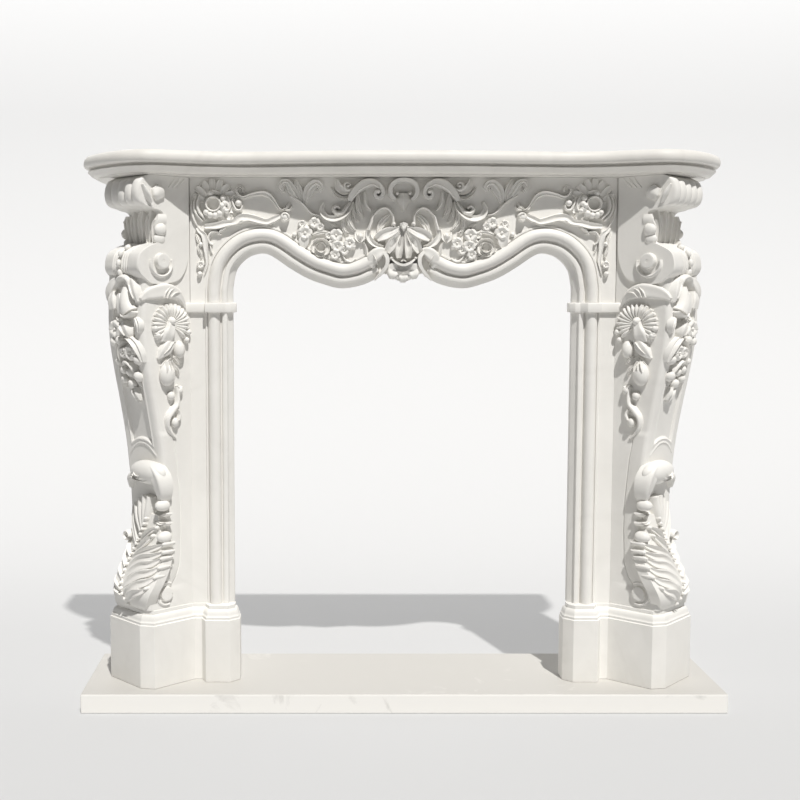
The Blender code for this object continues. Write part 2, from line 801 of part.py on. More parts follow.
def centre_carving():
    """Right half of the middle: volute, scrolls and leaves, palmette, ring, and the shell below."""
    art = Carving(on_frieze, 5)
    top = -112

    def blade(points, widths, heights, form="round", along=9, across=4):
        art.blade(anchored(points, 0, top), widths, heights, form, along, across)

    over = [(46, 95), (67, 105), (90, 97), (104, 81), (115, 58), (113, 39), (104, 21), (90, 0)]
    scroll = spiral((62, 73), 6, 20, 60, 330, 12) + over
    blade(scroll, (4, 5, 6, 8, 9, 9, 8, 7, 5), (12, 14, 18, 22, 24, 22, 20, 16, 12), "round", 26, 4)
    art.knob((62, top + 73), 8, 22)
    leaves = [
        ([(113, 72), (134, 62), (153, 70), (158, 88), (150, 102)], 12, 18),
        ([(113, 58), (127, 30), (150, 12), (174, 14), (188, 33), (182, 46)], 15, 20),
        ([(120, 44), (134, 32), (148, 28), (157, 36)], 9, 14),
        ([(112, 40), (122, 20), (124, 0), (113, -12)], 9, 14),
        ([(106, 51), (106, 35), (99, 19), (90, 20)], 8, 16),
        ([(92, 81), (92, 60), (83, 42), (76, 37)], 8, 16),
    ]
    for points, wide, tall in leaves:
        widths = (wide * 0.4, wide * 0.8, wide, wide * 0.7, wide * 0.4)
        blade(points, widths, (tall * 0.7, tall, tall, tall * 0.8), "cup", 9, 4)
    frame = [(40, 7), (28, 16), (31, 32), (48, 39), (66, 30), (78, 9), (80, -16), (71, -42), (52, -51)]
    blade(frame, (4, 6, 7, 7, 6, 5), (14, 20, 22, 20, 16, 12), "round", 18, 4)
    for turn, reach in ((-90, 68), (-62, 66), (-36, 62), (-10, 54), (14, 40)):
        a = math.radians(turn)
        lobe = [(run * math.cos(a), run * math.sin(a) - 3) for run in (3, reach * 0.57, reach)]
        blade(lobe, (4, 10, 11), (14, 20, 16), "cup", 6, 4)
    art.knob((0, top - 2), 13, 30)
    ring = spiral((0, 80), 25, 25, -55, 150, 12)
    blade(ring, (6, 7, 7, 7), (20, 24, 26, 26), "round", 12, 4)
    art.knob((19, top + 55), 8, 24)
    for k, out in enumerate((12, 7, 2)):
        art.knob((out, top + 66 - 15 * k), 8, 22)
    blade([(46, -66), (30, -80), (0, -90)], (6, 7, 7), (18, 24, 28), "round", 7, 4)
    for k in range(3):
        out = 5 + 13 * k
        path = [(out * 0.7, -92), (out, -112), (out * 0.62, -136 + 8 * k)]
        blade(path, (6, 9, 7), (20, 24, 16), "round", 5, 4)
    curl = spiral((62, -73), 7, 17, 200, -330, 12) + [(48, -98), (66, -124)]
    blade(curl, (4, 6, 8, 9, 9, 10), (14, 20, 24, 26, 24, 20), "round", 18, 4)
    art.knob((101, top - 28), 8, 16, 1.4)
    return art.object("centre carving")


def bouquet_carving():
    """Three leaves on a stem, and the run of flowers that lies along the arch."""
    art = Carving(on_frieze, 5)
    u = 0.59 * OPENING_HALF / MM
    v = -60
    stem = anchored([(-62, -44), (-35, -28), (-14, -14), (0, 2)], u, v)
    art.blade(stem, (4, 5, 5, 4), (10, 12, 12, 10), "round", 8, 4)
    leaves = [
        [(0, 0), (21, 14), (38, 25), (49, 35), (45, 45), (35, 49)],
        [(0, 4), (10, 25), (14, 42), (17, 52)],
        [(-4, -3), (-11, 21), (-25, 38), (-39, 45), (-42, 35)],
    ]
    for points in leaves:
        art.blade(anchored(points, u, v), (4, 9, 13, 11, 5), (8, 12, 16, 16, 10), "cup", 9, 4)
    blooms = [
        (-41, -105, 21),
        (-5, -70, 18),
        (-78, -77, 17),
        (-85, -98, 17),
        (-110, -94, 15),
        (-78, -126, 15),
        (-18, -49, 13),
        (-35, -54, 13),
        (19, -73, 12),
        (-127, -77, 11),
        (12, -98, 14),
    ]
    for k, (out, down, radius) in enumerate(blooms):
        art.flower((u + out, v + down), radius, 16, 5, 0.6 * k)
    return art.object("bouquet carving")


def corner_carving():
    """The pierced shell boss at the frieze's end, its two long arms, and the husk drop below it."""
    art = Carving(on_frieze, 5)
    u = FRIEZE_HALF / MM - 60
    v = -62

    def blade(points, widths, heights, form="round", along=9, across=4):
        art.blade(anchored(points, u, v), widths, heights, form, along, across)

    for k in range(11):
        a = 2 * math.pi * k / 11
        out = (math.cos(a), math.sin(a))
        blade([(26 * out[0], 28 * out[1]), (46 * out[0], 56 * out[1])], (7, 9), (9, 5), "round", 3, 3)
    for k in range(9):
        a = 2 * math.pi * k / 9
        art.knob((u - 8 + 27 * math.cos(a), v + 29 * math.sin(a)), 11, 20)
    eye = [(-8 + 18 * math.cos(a), 19 * math.sin(a)) for a in np.linspace(0, 2 * math.pi, 13)]
    blade(eye, (6, 6), (20, 20), "round", 16, 4)
    art.knob((u - 60, v - 4), 11, 18)
    curl = [(-66, 27), (-60, 34), (-52, 23), (-60, 13)]
    upper = curl + [(-82, 14), (-107, 18), (-128, 11), (-142, -3), (-150, -14)]
    blade(upper, (3, 4, 4, 3, 3, 4, 6, 6, 5), (10, 12, 12, 10, 10, 10, 12, 12, 10), "round", 20, 4)
    art.knob((u - 166, v - 12), 10, 17)
    lower = [(38, -57), (24, -46), (-12, -47), (-47, -48), (-82, -41), (-110, -43), (-135, -36)]
    lower.append((-154, -29))
    blade(lower,(8, 9, 8, 8, 7, 7, 6, 6), (14, 16, 16, 14, 14, 14, 13, 12), "round", 18, 4)
    art.knob((u - 162, v - 33), 11, 18)
    drop = [(38, -50), (38, -75), (32, -100), (31, -125), (30, -150)]
    blade(drop, (8, 9, 7, 5, 3), (14, 14, 12, 10, 8), "ridge", 10, 4)
    inner_curl = [(-14, -66), (4, -66), (14, -80), (8, -96), (0, -99)]
    blade(inner_curl, (3, 5, 6, 5, 3), (10, 12, 12, 12, 10), "round", 10, 4)
    blade([(20, -72), (14, -100), (17, -130), (25, -152)], (5, 6, 5, 3), (10, 12, 10, 8), "round", 8, 4)
    for down, radius in ((-84, 8), (-128, 9), (-144, 8), (-156, 6)):
        art.knob((u + 34, v + down), radius, 15)
    return art.object("corner carving")


def frieze(helpers):
    """Board, moulding and carving as one stone."""
    body = frieze_slab()
    moulds = [opening_mould(1), opening_mould(-1)]
    for mould in moulds:
        helpers.objects.link(mould)
        mould.hide_render = True
        mould.display_type = "WIRE"
    pieces = [centre_carving(), bouquet_carving(), corner_carving()]
    carving = fused("frieze carving", pieces, FRIEZE_TRIANGLES, helpers, mirrored=True)
    union(body, moulds + [carving])
    helpers.objects.link(body)
    mesh = evaluated_mesh(body)
    bpy.data.objects.remove(body)
    return outer_shell("frieze", mesh)


def main():
    clear_scene()
    pieces = collection("mantel")
    helpers = collection("carving and cutters")
    slab = hearth_slab()
    for holder in list(slab.users_collection):
        holder.objects.unlink(slab)
    plinth_right = plinth("plinth_right")
    leg = right_leg(helpers)
    made = [
        slab,
        plinth_right,
        mirrored_copy("plinth_left", plinth_right),
        leg,
        mirrored_copy("leg_left", leg),
        frieze(helpers),
        shelf(),
    ]
    tones = {"hearth_slab": (0.84, 0.82, 0.78), "shelf": (0.84, 0.82, 0.79)}
    for obj in made:
        pieces.objects.link(obj)
        tone = tones.get(obj.name, (0.86, 0.85, 0.82))
        obj.data.materials.clear()
        obj.data.materials.append(marble("marble of " + obj.name, tone))
    helpers.hide_render = True


main()
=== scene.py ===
"""The finished look of the carved marble fireplace mantel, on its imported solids.

Metres, +Z up, +X to the right, +Y back to the wall.
Carved forms are written in millimetres on the face that they lie on.
"""

import math

import bmesh
import bpy
import numpy as np
from mathutils import Matrix, Vector


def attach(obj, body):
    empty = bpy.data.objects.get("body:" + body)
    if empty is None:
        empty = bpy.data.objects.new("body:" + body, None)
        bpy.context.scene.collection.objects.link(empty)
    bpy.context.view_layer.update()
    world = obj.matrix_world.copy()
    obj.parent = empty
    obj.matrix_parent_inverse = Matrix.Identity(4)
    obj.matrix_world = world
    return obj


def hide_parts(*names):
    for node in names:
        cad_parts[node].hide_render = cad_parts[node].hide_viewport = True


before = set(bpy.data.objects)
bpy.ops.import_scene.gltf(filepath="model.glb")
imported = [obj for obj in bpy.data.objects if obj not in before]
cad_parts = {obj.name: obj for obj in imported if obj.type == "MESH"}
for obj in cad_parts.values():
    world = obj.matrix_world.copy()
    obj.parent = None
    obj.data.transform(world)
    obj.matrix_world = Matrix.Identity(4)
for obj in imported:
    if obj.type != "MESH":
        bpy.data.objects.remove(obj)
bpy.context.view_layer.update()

MM = 0.001
WALL_Y = 0.160
FIELD_Y = -0.034
STRIP_BACK_Y = -0.006
HEARTH_EDGE = 0.0435
LEG_Z = 0.2266
LEG_HEIGHT = 0.9957
LEG_TOP = LEG_Z + LEG_HEIGHT
CAP_TOP = LEG_TOP - 0.2864
SHELF_Z = LEG_TOP + 0.0003
PLINTH_Z = 0.0453
PLINTH_HEIGHT = 0.181
BASE_INSET = 0.014
OPENING_HALF = 0.395
MOULD_WIDTH = 0.063
FRIEZE_HALF = 0.4935
FRONT_WIDTH = 0.154
RETURN_THICK = 0.038
CANT = math.radians(48)
CORNER = Vector((0.589, -0.1383, 0))
ALONG_FRONT = Vector((math.cos(CANT), math.sin(CANT), 0))
INWARD = Vector((-math.sin(CANT), math.cos(CANT), 0))
RETURN_X = CORNER.x + ALONG_FRONT.x * FRONT_WIDTH - 0.038


# Lines and outlines


def smooth_path(points, steps):
    """Points of a Catmull-Rom curve through the given points, steps to each span."""
    p = np.array(points, float)
    p = np.vstack([2 * p[0] - p[1], p, 2 * p[-1] - p[-2]])
    t = np.linspace(0, 1, steps, endpoint=False)[:, None]
    spans = []
    for a, b, c, d in zip(p[:-3], p[1:-2], p[2:-1], p[3:]):
        bend = 2 * a - 5 * b + 4 * c - d
        spans.append(0.5 * (2 * b + (c - a) * t + bend * t**2 + (3 * b - a - 3 * c + d) * t**3))
    return np.vstack(spans + [p[-2]])


def run_length(points):
    p = np.array(points, float)
    return np.concatenate([[0], np.cumsum(np.linalg.norm(np.diff(p, axis=0), axis=1))])


def resample(points, count):
    """The path as count points at even distances."""
    p = np.array(points, float)
    run = run_length(p)
    at = np.linspace(0, run[-1], count)
    return np.column_stack([np.interp(at, run, p[:, k]) for k in range(p.shape[1])])


def point_about(centre, radius, angle, stretch=1.0):
    """The point at this distance and angle from a centre, its rise stretched."""
    return (centre[0] + radius * math.cos(angle), centre[1] + radius * stretch * math.sin(angle))


def offset_outline(outline, inset):
    """A closed outline moved inwards by a mitred inset. It runs anticlockwise."""
    p = np.array(outline, float)
    ahead = np.roll(p, -1, axis=0) - p
    ahead /= np.linalg.norm(ahead, axis=1)[:, None]
    behind = np.roll(ahead, 1, axis=0)
    normal = np.column_stack([-ahead[:, 1] - behind[:, 1], ahead[:, 0] + behind[:, 0]])
    share = np.maximum((1 + (ahead * behind).sum(1)), 0.3)
    return p + inset * normal / share[:, None]


def eased(outline, radius):
    """The outline with each corner rounded by a small radius."""
    p = np.array(outline, float)
    made = []
    for before, at, after in zip(np.roll(p, 1, axis=0), p, np.roll(p, -1, axis=0)):
        back = before - at
        on = after - at
        a = at + back / np.linalg.norm(back) * radius
        b = at + on / np.linalg.norm(on) * radius
        for t in (0, 0.33, 0.67, 1):
            made.append((1 - t) ** 2 * a + 2 * t * (1 - t) * at + t * t * b)
    return np.array(made)


def at_level(outline, z):
    return [(x, y, z) for x, y in outline]


def step_up(x, low, high):
    """0 below low, 1 above high, and a smooth rise between them."""
    t = np.clip((x - low) / (high - low), 0, 1)
    return t * t * (3 - 2 * t)


# Meshes


def stack(rings):
    """A closed body through rings of equal point count: a face that is extruded from ring to ring."""
    bm = bmesh.new()
    first = [bm.verts.new(co) for co in rings[0]]
    face = bm.faces.new(first)
    for ring in rings[1:]:
        face = bmesh.ops.extrude_discrete_faces(bm, faces=[face])["faces"][0]
        for vert, co in zip(face.verts, ring):
            vert.co = co
    bm.faces.new(list(reversed(first)))
    bmesh.ops.recalc_face_normals(bm, faces=bm.faces)
    return bm


def dressed(name, bodies, material, node=None, crease=32):
    """One finished piece from the given bodies: its finish, its smooth faces and its place on the frame."""
    mesh = bpy.data.meshes.new(name)
    whole = bmesh.new()
    for body in bodies:
        body.to_mesh(mesh)
        body.free()
        whole.from_mesh(mesh)
    whole.to_mesh(mesh)
    whole.free()
    for face in mesh.polygons:
        face.use_smooth = True
    mesh.set_sharp_from_angle(angle=math.radians(crease))
    mesh.materials.append(material)
    obj = bpy.data.objects.new(name, mesh)
    return settled(obj, node)


def settled(obj, node):
    bpy.context.scene.collection.objects.link(obj)
    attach(obj, "root")
    if node:
        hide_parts(node)
    return obj


def other_side(name, source, node=None):
    """The same piece mirrored to the other side of the middle."""
    mesh = source.data.copy()
    mesh.name = name
    mesh.transform(Matrix.Diagonal((-1, 1, 1, 1)))
    mesh.flip_normals()
    return settled(bpy.data.objects.new(name, mesh), node)


# Carving


def rim(s):
    """Falls off sharply at the two edges of a blade."""
    return np.sqrt(np.clip(1 - np.abs(s) ** 9, 0, 1))


FORMS = {
    "round": lambda s: np.sqrt(np.clip(1 - s * s, 0, 1)),
    "petal": lambda s: (0.84 + 0.16 * np.abs(s) ** 2) * np.sqrt(np.clip(1 - np.abs(s) ** 5, 0, 1)),
    "cup": lambda s: (0.50 + 0.50 * np.abs(s) ** 2) * rim(s),
    "spoon": lambda s: (0.34 + 0.66 * np.abs(s) ** 3) * rim(s),
    "leaf": lambda s: (0.50 + 0.38 * np.abs(s) ** 2.2 + 0.30 * np.exp(-((s / 0.16) ** 2))) * rim(s),
    "ridge": lambda s: (1 - 0.62 * np.abs(s)) * rim(s),
    "fold": lambda s: (0.72 + 0.34 * s - 0.22 * np.cos(3.0 * s)) * rim(s),
    "fold_back": lambda s: (0.72 - 0.34 * s - 0.22 * np.cos(3.0 * s)) * rim(s),
    "flat": rim,
}


class Carving:
    """Carved forms that lie on one face. place(u, v, height) gives points above that face, from metres."""

    def __init__(self, place, sink=4, grain=1.8):
        self.bm = bmesh.new()
        self.place = place
        self.sink = sink
        self.grain = grain

    def put(self, verts, u, v, level):
        for vert, co in zip(verts, self.place(u * MM, v * MM, level * MM)):
            vert.co = co

    def blade(self, path, widths, heights, form="round"):
        """A tapering strip along a path, in mm: a stem, a lobe or a leaf, by its cross form."""
        line = smooth_path(path, 12)
        length = run_length(line)[-1]
        along = int(np.clip(length / self.grain, 6, 110))
        across = 2 * int(np.clip(max(widths) / self.grain, 3, 12))
        line = resample(line, along + 1)
        ahead = np.gradient(line, axis=0)
        ahead /= np.maximum(np.linalg.norm(ahead, axis=1), 1e-9)[:, None]
        at = np.linspace(0, 1, along + 1)
        width = smooth_values(widths, at)
        height = smooth_values(heights, at)
        verts = bmesh.ops.create_grid(self.bm, x_segments=along, y_segments=across, size=1)["verts"]
        t = np.array([(vert.co.x + 1) / 2 for vert in verts])
        s = np.array([vert.co.y for vert in verts])
        k = np.rint(t * along).astype(int)
        u = line[k, 0] - ahead[k, 1] * s * width[k]
        v = line[k, 1] + ahead[k, 0] * s * width[k]
        self.put(verts, u, v, height[k] * FORMS[form](s))
        brink = list({e for vert in verts for e in vert.link_edges if e.is_boundary})
        walls = bmesh.ops.extrude_edge_only(self.bm, edges=brink)["geom"]
        low = [g for g in walls if isinstance(g, bmesh.types.BMVert)]
        places = {vert: (u[i], v[i]) for i, vert in enumerate(verts)}
        under = []
        for vert in low:
            above = (e.other_vert(vert) for e in vert.link_edges)
            under.append(next(places[other] for other in above if other in places))
        under = np.array(under)
        self.sink += 0.02
        self.put(low, under[:, 0], under[:, 1], np.full(len(low), -float(self.sink)))
        feet = [g for g in walls if isinstance(g, bmesh.types.BMEdge) and g.is_boundary]
        bmesh.ops.holes_fill(self.bm, edges=feet, sides=0)

    def knob(self, centre, radius, height, stretch=1.0, turn=0.0, segments=20):
        """A bead, berry or bud: a squashed ball."""
        ball = bmesh.ops.create_uvsphere(self.bm, u_segments=segments, v_segments=segments // 2, radius=1)
        verts = ball["verts"]
        x, y, z = np.array([tuple(vert.co) for vert in verts]).T
        y = y * stretch
        waist = height * 0.25
        u = centre[0] + radius * (x * math.cos(turn) - y * math.sin(turn))
        v = centre[1] + radius * (x * math.sin(turn) + y * math.cos(turn))
        self.put(verts, u, v, waist + z * np.where(z > 0, height - waist, waist + self.sink))

    def flower(self, centre, radius, height, petals=5, turn=0.0, eye=0.26, form="petal", lift=1.0):
        """An open flower: full round petals, each a little lower than the last, round a small sunk eye."""
        for k in range(petals):
            angle = turn + 2 * math.pi * k / petals
            wide = radius * math.sin(math.pi / petals)
            runs = (radius * 0.14, radius * 0.45, radius * 0.78, radius)
            path = [point_about(centre, run, angle) for run in runs]
            tall = height * (1 - 0.05 * (k % 3))
            heights = (tall * 0.50 * lift, tall * 0.86, tall, tall * 0.66)
            self.blade(path, (wide * 0.35, wide * 0.86, wide * 0.98, wide * 0.62), heights, form)
        self.knob(centre, radius * eye, height * 0.82)

    def rose(self, centre, radius, height, turn=0.0):
        """A full rose: rings of overlapping petals round a hollow eye."""
        self.knob(centre, radius * 0.92, height * 0.35)
        for ring, (far, wide, count, tall) in enumerate(((0.80, 0.27, 5, 0.72), (0.44, 0.15, 3, 1.0))):
            top = height * tall
            reach = radius * wide
            for k in range(count):
                start = turn + ring * 0.7 + 2 * math.pi * k / count
                arc = np.linspace(start, start + 2 * math.pi / count * 1.1, 7)
                path = [point_about(centre, radius * far, angle) for angle in arc]
                widths = (reach * 0.5, reach, reach, reach * 0.5)
                self.blade(path, widths, (top * 0.75, top, top, top * 0.8), "fold_back")

    def ring(self, centre, radius, width, height, form="round", stretch=1.0, first=0.0, turn=360.0):
        """A raised ring or part of one."""
        arc = np.radians(np.linspace(first, first + turn, 17))
        path = [point_about(centre, radius, angle, stretch) for angle in arc]
        self.blade(path, (width, width), (height, height), form)

    def fan(self, centre, radius, height, first_deg, last_deg, ribs, stretch=1.0, inner=0.18, form="round"):
        """A shell: ribs spread round a point."""
        for k in range(ribs):
            angle = math.radians(first_deg + (last_deg - first_deg) * k / (ribs - 1))
            wide = radius * abs(math.radians(last_deg - first_deg)) / (ribs - 1) / 2 * 1.06
            path = [point_about(centre, radius * far, angle, stretch) for far in (inner, 0.6, 0.9, 1)]
            heights = (height * 0.5, height * 0.85, height, height * 0.7)
            self.blade(path, (wide * 0.3, wide * 0.68, wide, wide * 0.6), heights, form)

    def forms(self, table, u=0.0, v=0.0):
        """Blades from rows of (points, half widths, heights, cross form), moved by u and v."""
        for points, widths, heights, form in table:
            self.blade([(u + a, v + b) for a, b in points], widths, heights, form)

    def body(self):
        bmesh.ops.recalc_face_normals(self.bm, faces=self.bm.faces)
        return self.bm


def smooth_values(values, at):
    """Values evenly spaced along a path, read at shares of it with a smooth change."""
    knots = np.linspace(0, 1, len(values))
    line = smooth_path(np.column_stack([knots, values]), 8)
    return np.interp(at, line[:, 0], line[:, 1])


# Marble


class Socket:
    """A value in the shader, worked out with Python operators."""

    def __init__(self, tree, link):
        self.tree = tree
        self.link = link

    def maths(self, operation, other, swap=False):
        node = self.tree.nodes.new("ShaderNodeMath")
        node.operation = operation
        pair = [other, self] if swap else [self, other]
        for slot, value in zip(node.inputs, pair):
            if isinstance(value, Socket):
                self.tree.links.new(value.link, slot)
            else:
                slot.default_value = value
        return Socket(self.tree, node.outputs[0])

    def __add__(self, other):
        return self.maths("ADD", other)

    __radd__ = __add__

    def __mul__(self, other):
        return self.maths("MULTIPLY", other)

    __rmul__ = __mul__

    def __sub__(self, other):
        return self.maths("SUBTRACT", other)

    def __rsub__(self, other):
        return self.maths("SUBTRACT", other, swap=True)

    def __pow__(self, other):
        return self.maths("POWER", other)


class Finish:
    """A node material under construction."""

    def __init__(self, name):
        self.material = bpy.data.materials.new(name)
        self.material.use_nodes = True
        self.tree = self.material.node_tree
        self.shader = self.tree.nodes["Principled BSDF"]

    def node(self, kind, output=0, settings=None, **sockets):
        """A node of this kind, its settings first and then the values or links of its sockets."""
        made = self.tree.nodes.new(kind)
        for key, value in (settings or {}).items():
            setattr(made, key, value)
        for key, value in sockets.items():
            slot = made.inputs[key.replace("_", " ")]
            if isinstance(value, Socket):
                self.tree.links.new(value.link, slot)
            else:
                slot.default_value = value
        return Socket(self.tree, made.outputs[output])

    def ramp(self, value, stops):
        """A value turned into a colour by stops of (place, colour)."""
        made = self.tree.nodes.new("ShaderNodeValToRGB")
        self.tree.links.new(value.link, made.inputs[0])
        elements = made.color_ramp.elements
        while len(elements) < len(stops):
            elements.new(0.5)
        for element, (place, colour) in zip(elements, stops):
            element.position = place
            element.color = (*colour, 1)
        return Socket(self.tree, made.outputs[0])

    def feed(self, name, value):
        if isinstance(value, Socket):
            self.tree.links.new(value.link, self.shader.inputs[name])
        else:
            self.shader.inputs[name].default_value = value


def marble(name, light, dark, vein=0.25, light_from=0.62, painted_top_shade=0.0, painted_shade_above=0.0):
    """Honed white marble: faint clouds and soft veins, fine grain, uneven polish, and a top darkened as
    painted shade.
    """
    stone = Finish(name)
    place = stone.node("ShaderNodeTexCoord", 3)

    def noise(scale, detail, roughness, distortion=0.0):
        sockets = dict(Scale=scale, Detail=detail, Roughness=roughness, Distortion=distortion)
        return stone.node("ShaderNodeTexNoise", Vector=place, **sockets)

    drift = noise(3.1, 5.0, 0.55)
    cloud = noise(9.0, 6.0, 0.6, 0.8)
    line = noise(2.2, 4.0, 0.5, 1.6)
    off = (line - 0.5).maths("ABSOLUTE", 0)
    thread = (1 - off * 26).maths("MAXIMUM", 0) * drift * vein
    tone = cloud * 0.6 + drift * 0.4 - thread
    # Painted shade: above the given height the tone is pushed towards the dark colour, so the top reads
    # darker as if less light fell on it.
    if painted_top_shade:
        rise = stone.node("ShaderNodeSeparateXYZ", 2, Vector=place)
        top = ((rise - painted_shade_above) * 2000).maths("MAXIMUM", 0).maths("MINIMUM", 1)
        tone = tone * (1 - top * painted_top_shade)
    stone.feed("Base Color", stone.ramp(tone, [(0.30, dark), (light_from, light)]))
    grain = noise(420.0, 2.0, 0.6)
    tooling = noise(60.0, 3.0, 0.5)
    stone.feed("Roughness", 0.40 + cloud * 0.12 + grain * 0.10)
    height = grain * 0.35 + tooling * 0.65
    stone.feed("Normal", stone.node("ShaderNodeBump", Strength=0.10, Distance=0.0010, Height=height))
    stone.shader.inputs["Specular IOR Level"].default_value = 0.35
    return stone.material


# Plinths and shelf


def console_point(w, d):
    """A plan point of the right-hand console: w along its front, d inwards from it."""
    p = CORNER + ALONG_FRONT * w + INWARD * d
    return (p.x, p.y)


def where_side_meets_x(w, x):
    """The depth d at which the console's side at w reaches the plan line x."""
    return (CORNER.x + ALONG_FRONT.x * w - x) / -INWARD.x


def plinth_outline():
    """The right plinth's plan, anticlockwise from the back of the opening."""
    proud_x = OPENING_HALF + MOULD_WIDTH + 0.003
    inner_x = OPENING_HALF - BASE_INSET
    front_y = FIELD_Y - 0.038
    recess_y = front_y + 0.024
    recess_d = (recess_y - CORNER.y) / INWARD.y
    return [
        (inner_x, STRIP_BACK_Y),
        (inner_x, front_y + 0.022),
        (inner_x + 0.022, front_y),
        (proud_x, front_y),
        (proud_x + 0.010, recess_y),
        console_point(0, recess_d),
        console_point(0, 0.0213),
        console_point(0.0286, 0),
        console_point(FRONT_WIDTH, 0),
        console_point(FRONT_WIDTH, where_side_meets_x(FRONT_WIDTH, RETURN_X)),
        (RETURN_X, WALL_Y),
        (RETURN_X - 0.068, WALL_Y),
        (RETURN_X - 0.068, STRIP_BACK_Y),
    ]


def plinth_body():
    """A block with a fillet, a cove and a top fillet, all following its plan."""
    outline = plinth_outline()
    mould_z = PLINTH_Z + PLINTH_HEIGHT - 0.032
    cove = 0.017
    steps = [(0.0010, PLINTH_Z), (0, PLINTH_Z + 0.001), (0, mould_z - 0.002)]
    steps += [(0.0012, mould_z - 0.0012), (0.0025, mould_z), (0.0022, mould_z + 0.001)]
    steps += [(0.0022, mould_z + 0.005), (0.0030, mould_z + 0.0058)]
    for k in range(1, 11):
        angle = math.radians(90 * k / 10)
        steps.append((0.0045 + 0.0078 * (1 - math.cos(angle)), mould_z + 0.006 + cove * math.sin(angle)))
    steps += [(0.0118, mould_z + 0.0238), (BASE_INSET - 0.0022, mould_z + 0.025)]
    steps += [(BASE_INSET - 0.0022, mould_z + 0.031), (BASE_INSET, PLINTH_Z + PLINTH_HEIGHT)]
    return stack([at_level(eased(offset_outline(outline, inset), 0.0012), z) for inset, z in steps])


def shelf_outline():
    """The shelf's plan at its widest, anticlockwise: a bowed middle, hollow sides and canted ends."""
    half = 0.750
    corner = CORNER.x - 0.014
    front = -0.151
    line = [
        (0.0, front + 0.022),
        (0.097, front + 0.023),
        (0.185, front + 0.032),
        (0.29, front + 0.046),
        (0.37, front + 0.052),
        (0.44, front + 0.044),
        (0.51, front + 0.020),
        (corner, front),
        (corner + 0.060, front + 0.020),
        (corner + 0.110, front + 0.066),
        (half - 0.037, front + 0.103),
        (half - 0.012, front + 0.145),
        (half, front + 0.190),
    ]
    right = smooth_path(line, 9)[1:]
    left = [(-x, y) for x, y in right[::-1]]
    return [(-half, WALL_Y)] + left + [line[0]] + [tuple(p) for p in right] + [(half, WALL_Y)]


SHELF_PROFILE = [
    (0.0345, 0.0000),
    (0.0335, 0.0008),
    (0.0335, 0.0028),
    (0.0315, 0.0034),
    (0.0270, 0.0040),
    (0.0225, 0.0052),
    (0.0190, 0.0072),
    (0.0165, 0.0100),
    (0.0140, 0.0128),
    (0.0112, 0.0148),
    (0.0095, 0.0170),
    (0.0100, 0.0186),
    (0.0120, 0.0192),
    (0.0165, 0.0195),
    (0.0170, 0.0205),
    (0.0170, 0.0235),
    (0.0155, 0.0245),
    (0.0080, 0.0250),
    (0.0045, 0.0262),
    (0.0020, 0.0290),
    (0.0005, 0.0330),
    (0.0000, 0.0375),
    (0.0006, 0.0420),
    (0.0024, 0.0462),
    (0.0052, 0.0496),
    (0.0088, 0.0520),
    (0.0120, 0.0530),
]


def shelf_body():
    """An ogee member, a groove and a bullnose member, worked round the front and the ends of one slab."""
    outline = shelf_outline()
    at_wall = np.array(outline)[:, 1] > WALL_Y - 1e-6
    rings = []
    for inset, rise in SHELF_PROFILE:
        ring = offset_outline(outline, inset)
        ring[:, 1] = np.where(at_wall, WALL_Y, ring[:, 1])
        rings.append(at_level(ring, SHELF_Z + rise))
    return stack(rings)


# Legs

FRONT_LINE = [
    (0.000, 0.011),
    (0.034, 0.005),
    (0.050, 0.012),
    (0.060, 0.034),
    (0.088, 0.051),
    (0.127, 0.059),
    (0.185, 0.061),
    (0.252, 0.060),
    (0.322, 0.055),
    (0.399, 0.046),
    (0.483, 0.031),
    (0.553, 0.017),
    (0.627, 0.005),
    (0.700, 0.003),
    (0.800, 0.008),
]
front_curve = smooth_path(FRONT_LINE, 8)


def front_depth(share):
    """Depth of the console's front at a share of the leg's height."""
    return np.interp(share, front_curve[:, 0], front_curve[:, 1])


W0 = BASE_INSET
W1 = FRONT_WIDTH - BASE_INSET
BAND_LINE = np.array([
    (262, 70), (280, 78), (298, 91), (328, 102), (406, 106), (485, 104), (575, 95), (634, 84), (660, 80),
]) * MM


def panel_relief(w, share):
    """How deep the front's panel is sunk: a raised line, then a flat field with an arched foot."""
    middle = (W0 + W1) / 2
    bend = ((w - middle) / 0.036) ** 2
    above_foot = (share - 0.398 + 0.012 * bend) * LEG_HEIGHT * 0.8
    below_head = (0.757 - share) * LEG_HEIGHT
    room = min(w - (W0 + 0.026), (W1 - 0.026) - w, above_foot, below_head)
    line = 0.0018 * math.exp(-(((room + 0.0028) / 0.0016) ** 2))
    arch = (share - 0.386 + 0.017 * bend) * LEG_HEIGHT
    arch_line = 0.0022 * math.exp(-((arch / 0.0022) ** 2)) * float(abs(w - middle) < 0.046)
    return 0.0045 * float(step_up(room, -0.0005, 0.0022)) - line - arch_line


